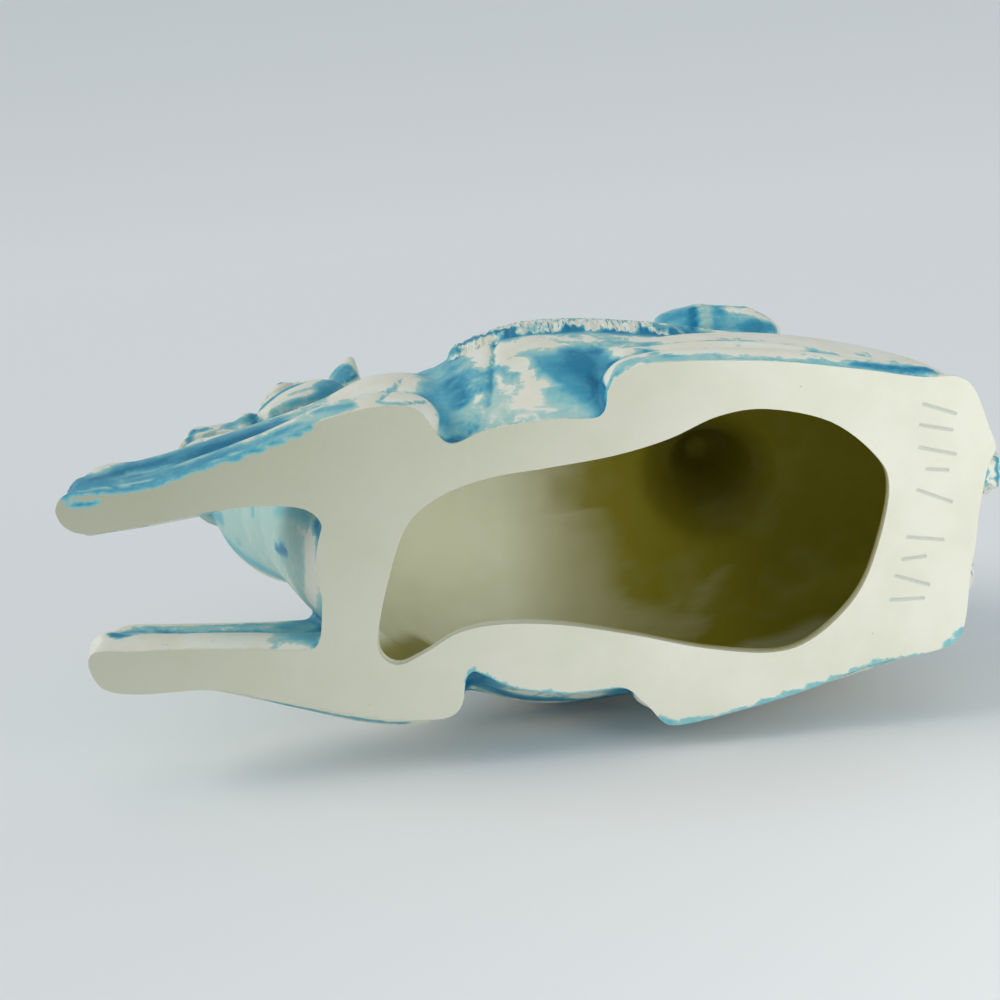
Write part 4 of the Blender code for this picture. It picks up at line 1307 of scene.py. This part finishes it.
def washed_bisque():
    """Cream bisque with a thin blue wash that pools in recesses and breaks up over the highs, and painted
    shade.
    """
    n = Nodes("washed_bisque")
    n.shader.inputs["Specular IOR Level"].default_value = 0.25
    patches = n.noise(70, 3, 0.55)
    blotches = n.noise(230, 4, 0.6, warp=0.8)
    dragged = n.noise(1, 3, 0.6, n.stretched(420, 190, 300))
    fine = n.noise(900, 2, 0.65)
    hairs = n.noise(1, 2, 0.6, n.stretched(500, 1500, 120))
    loose = n.span(n.attribute("brushed"), 0.0, 1.0, 1.0, 0.15)
    uneven = n.times(n.math("SUBTRACT", patches, 0.5), 0.8)
    for pattern, amount in ((blotches, 1.0), (dragged, 0.2), (fine, 0.3)):
        uneven = n.swing(pattern, amount, uneven)
    broken = n.math("MULTIPLY_ADD", uneven, loose, n.attribute("wash"))
    threads = n.times(n.math("SUBTRACT", n.span(hairs, 0.55, 0.68), 0.1), n.attribute("thread"))
    broken = n.math("MULTIPLY_ADD", threads, 0.5, broken)
    clay = n.mix(n.span(n.noise(90, 3), 0.4, 0.65), CREAM, WARM_CREAM)
    outside = n.ramp(broken, (
        (0.2, CREAM), (0.95, DEEP_BLUE), (0.3, PALE_AQUA), (0.44, AQUA), (0.66, BLUE)))
    outside = n.mix(n.span(broken, 0.16, 0.27), clay, outside)
    # Painted shade mixed into the walls and the underside, darker towards the front
    outside = n.mix(n.times(n.attribute("painted_shade"), 0.14), outside, WALL_PAINTED_SHADE)
    sole_clay = n.mix(n.span(n.noise(45, 4), 0.35, 0.7), SOLE_CREAM, SOLE_SHADE)
    sole_clay = n.mix(n.attribute("painted_shade"), sole_clay, SOLE_PAINTED_SHADE)
    speck = n.span(n.cells(260), 0.05, 0.1, 1.0, 0.0)
    rare = n.span(n.noise(190, 1), 0.64, 0.7)
    sole_clay = n.mix(n.times(n.times(speck, rare), 0.5), sole_clay, SPECK)
    ragged = n.swing(n.noise(420, 4, 0.7), 0.7, n.attribute("wash"))
    stained = n.mix(n.span(ragged, 0.25, 0.4), sole_clay, n.ramp(ragged, (
        (0.2, PALE_AQUA), (1.0, DEEP_BLUE), (0.45, AQUA), (0.75, BLUE))))
    stained = n.mix(n.times(n.attribute("scratched"), 0.75), stained, SCRATCH_BLUE)
    # Painted light and shade of the inside: pale at the front, olive painted shade further back
    painted_inside_shading = n.mix(n.swing(n.noise(50, 2), 0.3, n.attribute("deep")), INSIDE_PAINTED_LIT, INSIDE_PAINTED_SHADE)
    colour = n.mix(n.attribute("sole"), outside, stained)
    colour = n.mix(n.attribute("inside"), colour, painted_inside_shading)
    n.join(colour, n.shader.inputs["Base Color"])
    bare = n.math("MAXIMUM", n.attribute("sole"), n.attribute("inside"))
    washable = n.math("SUBTRACT", 1.0, bare)
    n.join(n.span(n.times(broken, washable), 0.2, 0.8, 0.72, 0.44), n.shader.inputs["Roughness"])
    brushed = n.times(n.times(blotches, n.span(broken, 0.3, 0.7)), washable)
    normal = n.bump(n.noise(2600, 2, 0.6), 0.12 * MM, 0.5)
    normal = n.bump(brushed, 0.25 * MM, 0.5, normal)
    normal = n.bump(n.times(hairs, n.attribute("thread")), 0.3 * MM, 0.6, normal)
    n.join(normal, n.shader.inputs["Normal"])
    return n.material


def one_sided(name, colour):
    """A matt backdrop that is clear when it is seen from behind."""
    n = Nodes(name)
    n.shader.inputs["Base Color"].default_value = colour
    n.shader.inputs["Roughness"].default_value = 0.9
    n.shader.inputs["Specular IOR Level"].default_value = 0.15
    clear = n.tree.nodes.new("ShaderNodeBsdfTransparent")
    back = n.tree.nodes.new("ShaderNodeNewGeometry").outputs["Backfacing"]
    choose = n.tree.nodes.new("ShaderNodeMixShader")
    n.join(back, choose.inputs[0])
    n.join(n.shader.outputs[0], choose.inputs[1])
    n.join(clear.outputs[0], choose.inputs[2])
    n.join(choose.outputs[0], n.tree.nodes["Material Output"].inputs["Surface"])
    return n.material


def sheet(name, centre, across, along, material):
    """A flat backdrop, its face towards across x along."""
    bm = bmesh.new()
    facing = across.cross(along).normalized()
    turned = Matrix((across, along, facing)).transposed().to_4x4()
    turned.translation = centre
    bmesh.ops.create_grid(bm, x_segments=1, y_segments=1, size=1, matrix=turned)
    item = make_object(name, bm)
    item.data.materials.append(material)
    return item


def lamp(name, kind, power, colour, facing):
    """A light that shines against a direction."""
    light = bpy.data.lights.new(name, kind)
    light.energy = power
    light.color = colour
    item = put_in(name, light)
    item.rotation_euler = facing.to_track_quat("Z", "Y").to_euler()
    return item


def sweep(name, level, material):
    """The pale table and the backdrop that it curves up into, behind the object."""
    bm = bmesh.new()
    near = [bm.verts.new((level, side * SWEEP_WIDTH, -SWEEP_FRONT)) for side in (-1, 1)]
    edge = bm.edges.new(near)
    made = bmesh.ops.extrude_edge_only(bm, edges=[edge])["geom"]
    ahead = [item for item in made if isinstance(item, bmesh.types.BMVert)]
    bmesh.ops.translate(bm, verts=ahead, vec=(0, 0, SWEEP_FRONT + SWEEP_BACK))
    far = [item for item in made if isinstance(item, bmesh.types.BMEdge) and set(item.verts) == set(ahead)]
    bmesh.ops.spin(
        bm, geom=ahead + far, cent=(level + SWEEP_RADIUS, 0, SWEEP_BACK), axis=(0, 1, 0),
        angle=math.pi / 2, steps=SWEEP_STEPS)
    for face in bm.faces:
        face.smooth = True
        face.normal_update()
        if face.normal.x < face.normal.z:
            face.normal_flip()
    item = make_object(name, bm)
    item.data.materials.append(material)


# Sky, low window light into the hollow, and soft daylight from above and the front
SKY_COLOUR = (0.83, 0.935, 1.0, 1)
SKY_STRENGTH = 0.57
WINDOW_PLACE = Vector((0.05, 0.3, -0.35))
WINDOW_TARGET = Vector((0, 0.2, 0))
WINDOW_SIZE = 0.3
WINDOW_POWER = 0.9
WINDOW_COLOUR = (1, 0.985, 0.95)
DAYLIGHT_FROM = Vector((1, -1.6, 0.1))
DAYLIGHT_POWER = 1.45
DAYLIGHT_SPREAD = math.radians(40)
DAYLIGHT_COLOUR = (1, 0.965, 0.91)
TABLE_COLOUR = linear(0.925, 0.925, 0.925)
FLOOR_COLOUR = linear(0.88, 0.89, 0.90)
FLOOR_REACH = 4
FLOOR_DROP = 0.3 * MM


def studio(low):
    """Pale table under the camel's right side, pale floor for upright views, sky and lights."""
    sweep("table", low.x - TABLE_GAP, one_sided("table_top", TABLE_COLOUR))
    floor = sheet("floor", Vector((0, 0, -FLOOR_DROP)), Vector((FLOOR_REACH, 0, 0)),
                  Vector((0, FLOOR_REACH, 0)), one_sided("floor_top", FLOOR_COLOUR))
    floor.visible_shadow = False
    floor.visible_diffuse = False
    floor.visible_glossy = False
    world = bpy.data.worlds.new("studio")
    world.use_nodes = True
    sky = world.node_tree.nodes["Background"]
    sky.inputs["Color"].default_value = SKY_COLOUR
    sky.inputs["Strength"].default_value = SKY_STRENGTH
    bpy.context.scene.world = world
    window = lamp("window", "AREA", WINDOW_POWER, WINDOW_COLOUR, WINDOW_PLACE - WINDOW_TARGET)
    window.data.shape = "DISK"
    window.data.size = WINDOW_SIZE
    window.location = WINDOW_PLACE
    overhead = lamp("overhead", "SUN", DAYLIGHT_POWER, DAYLIGHT_COLOUR, DAYLIGHT_FROM)
    overhead.data.angle = DAYLIGHT_SPREAD


def photo_camera(moved):
    right, upward, forward = camera_axes()
    data = bpy.data.cameras.new("photo")
    data.sensor_width = SENSOR
    data.lens = FOCAL_PIXELS * SENSOR / IMAGE_SIZE
    item = put_in("photo", data)
    turned = Matrix((right, upward, -forward)).transposed().to_4x4()
    turned.translation = CAMERA_PLACE + moved
    item.matrix_world = turned
    bpy.context.scene.camera = item


def centre(camel):
    """Put the mesh's outer box over the middle of the CAD box, and say how far it moved."""
    moved = Vector((0, 0, 0))
    for axis in (0, 1):
        values = [corner[axis] for corner in camel.bound_box]
        moved[axis] = (cad_box[0][axis] + cad_box[1][axis]) / 2 - (min(values) + max(values)) / 2
    camel.data.transform(Matrix.Translation(moved))
    return moved


def main():
    camel, inside = cast_camel()
    carve(camel, *skin_masks(camel, inside))
    thin_out(camel)
    grid_sole(camel)
    scratch(camel)
    paint(camel, inside)
    moved = centre(camel)
    camel.data.materials.clear()
    camel.data.materials.append(washed_bisque())
    camel.data.shade_smooth()
    camel.data.set_sharp_from_angle(angle=CRISP)
    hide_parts("camel")
    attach(camel, "root")
    studio(cad_box[0])
    photo_camera(moved)
    bpy.context.scene.view_settings.view_transform = "Standard"


main()
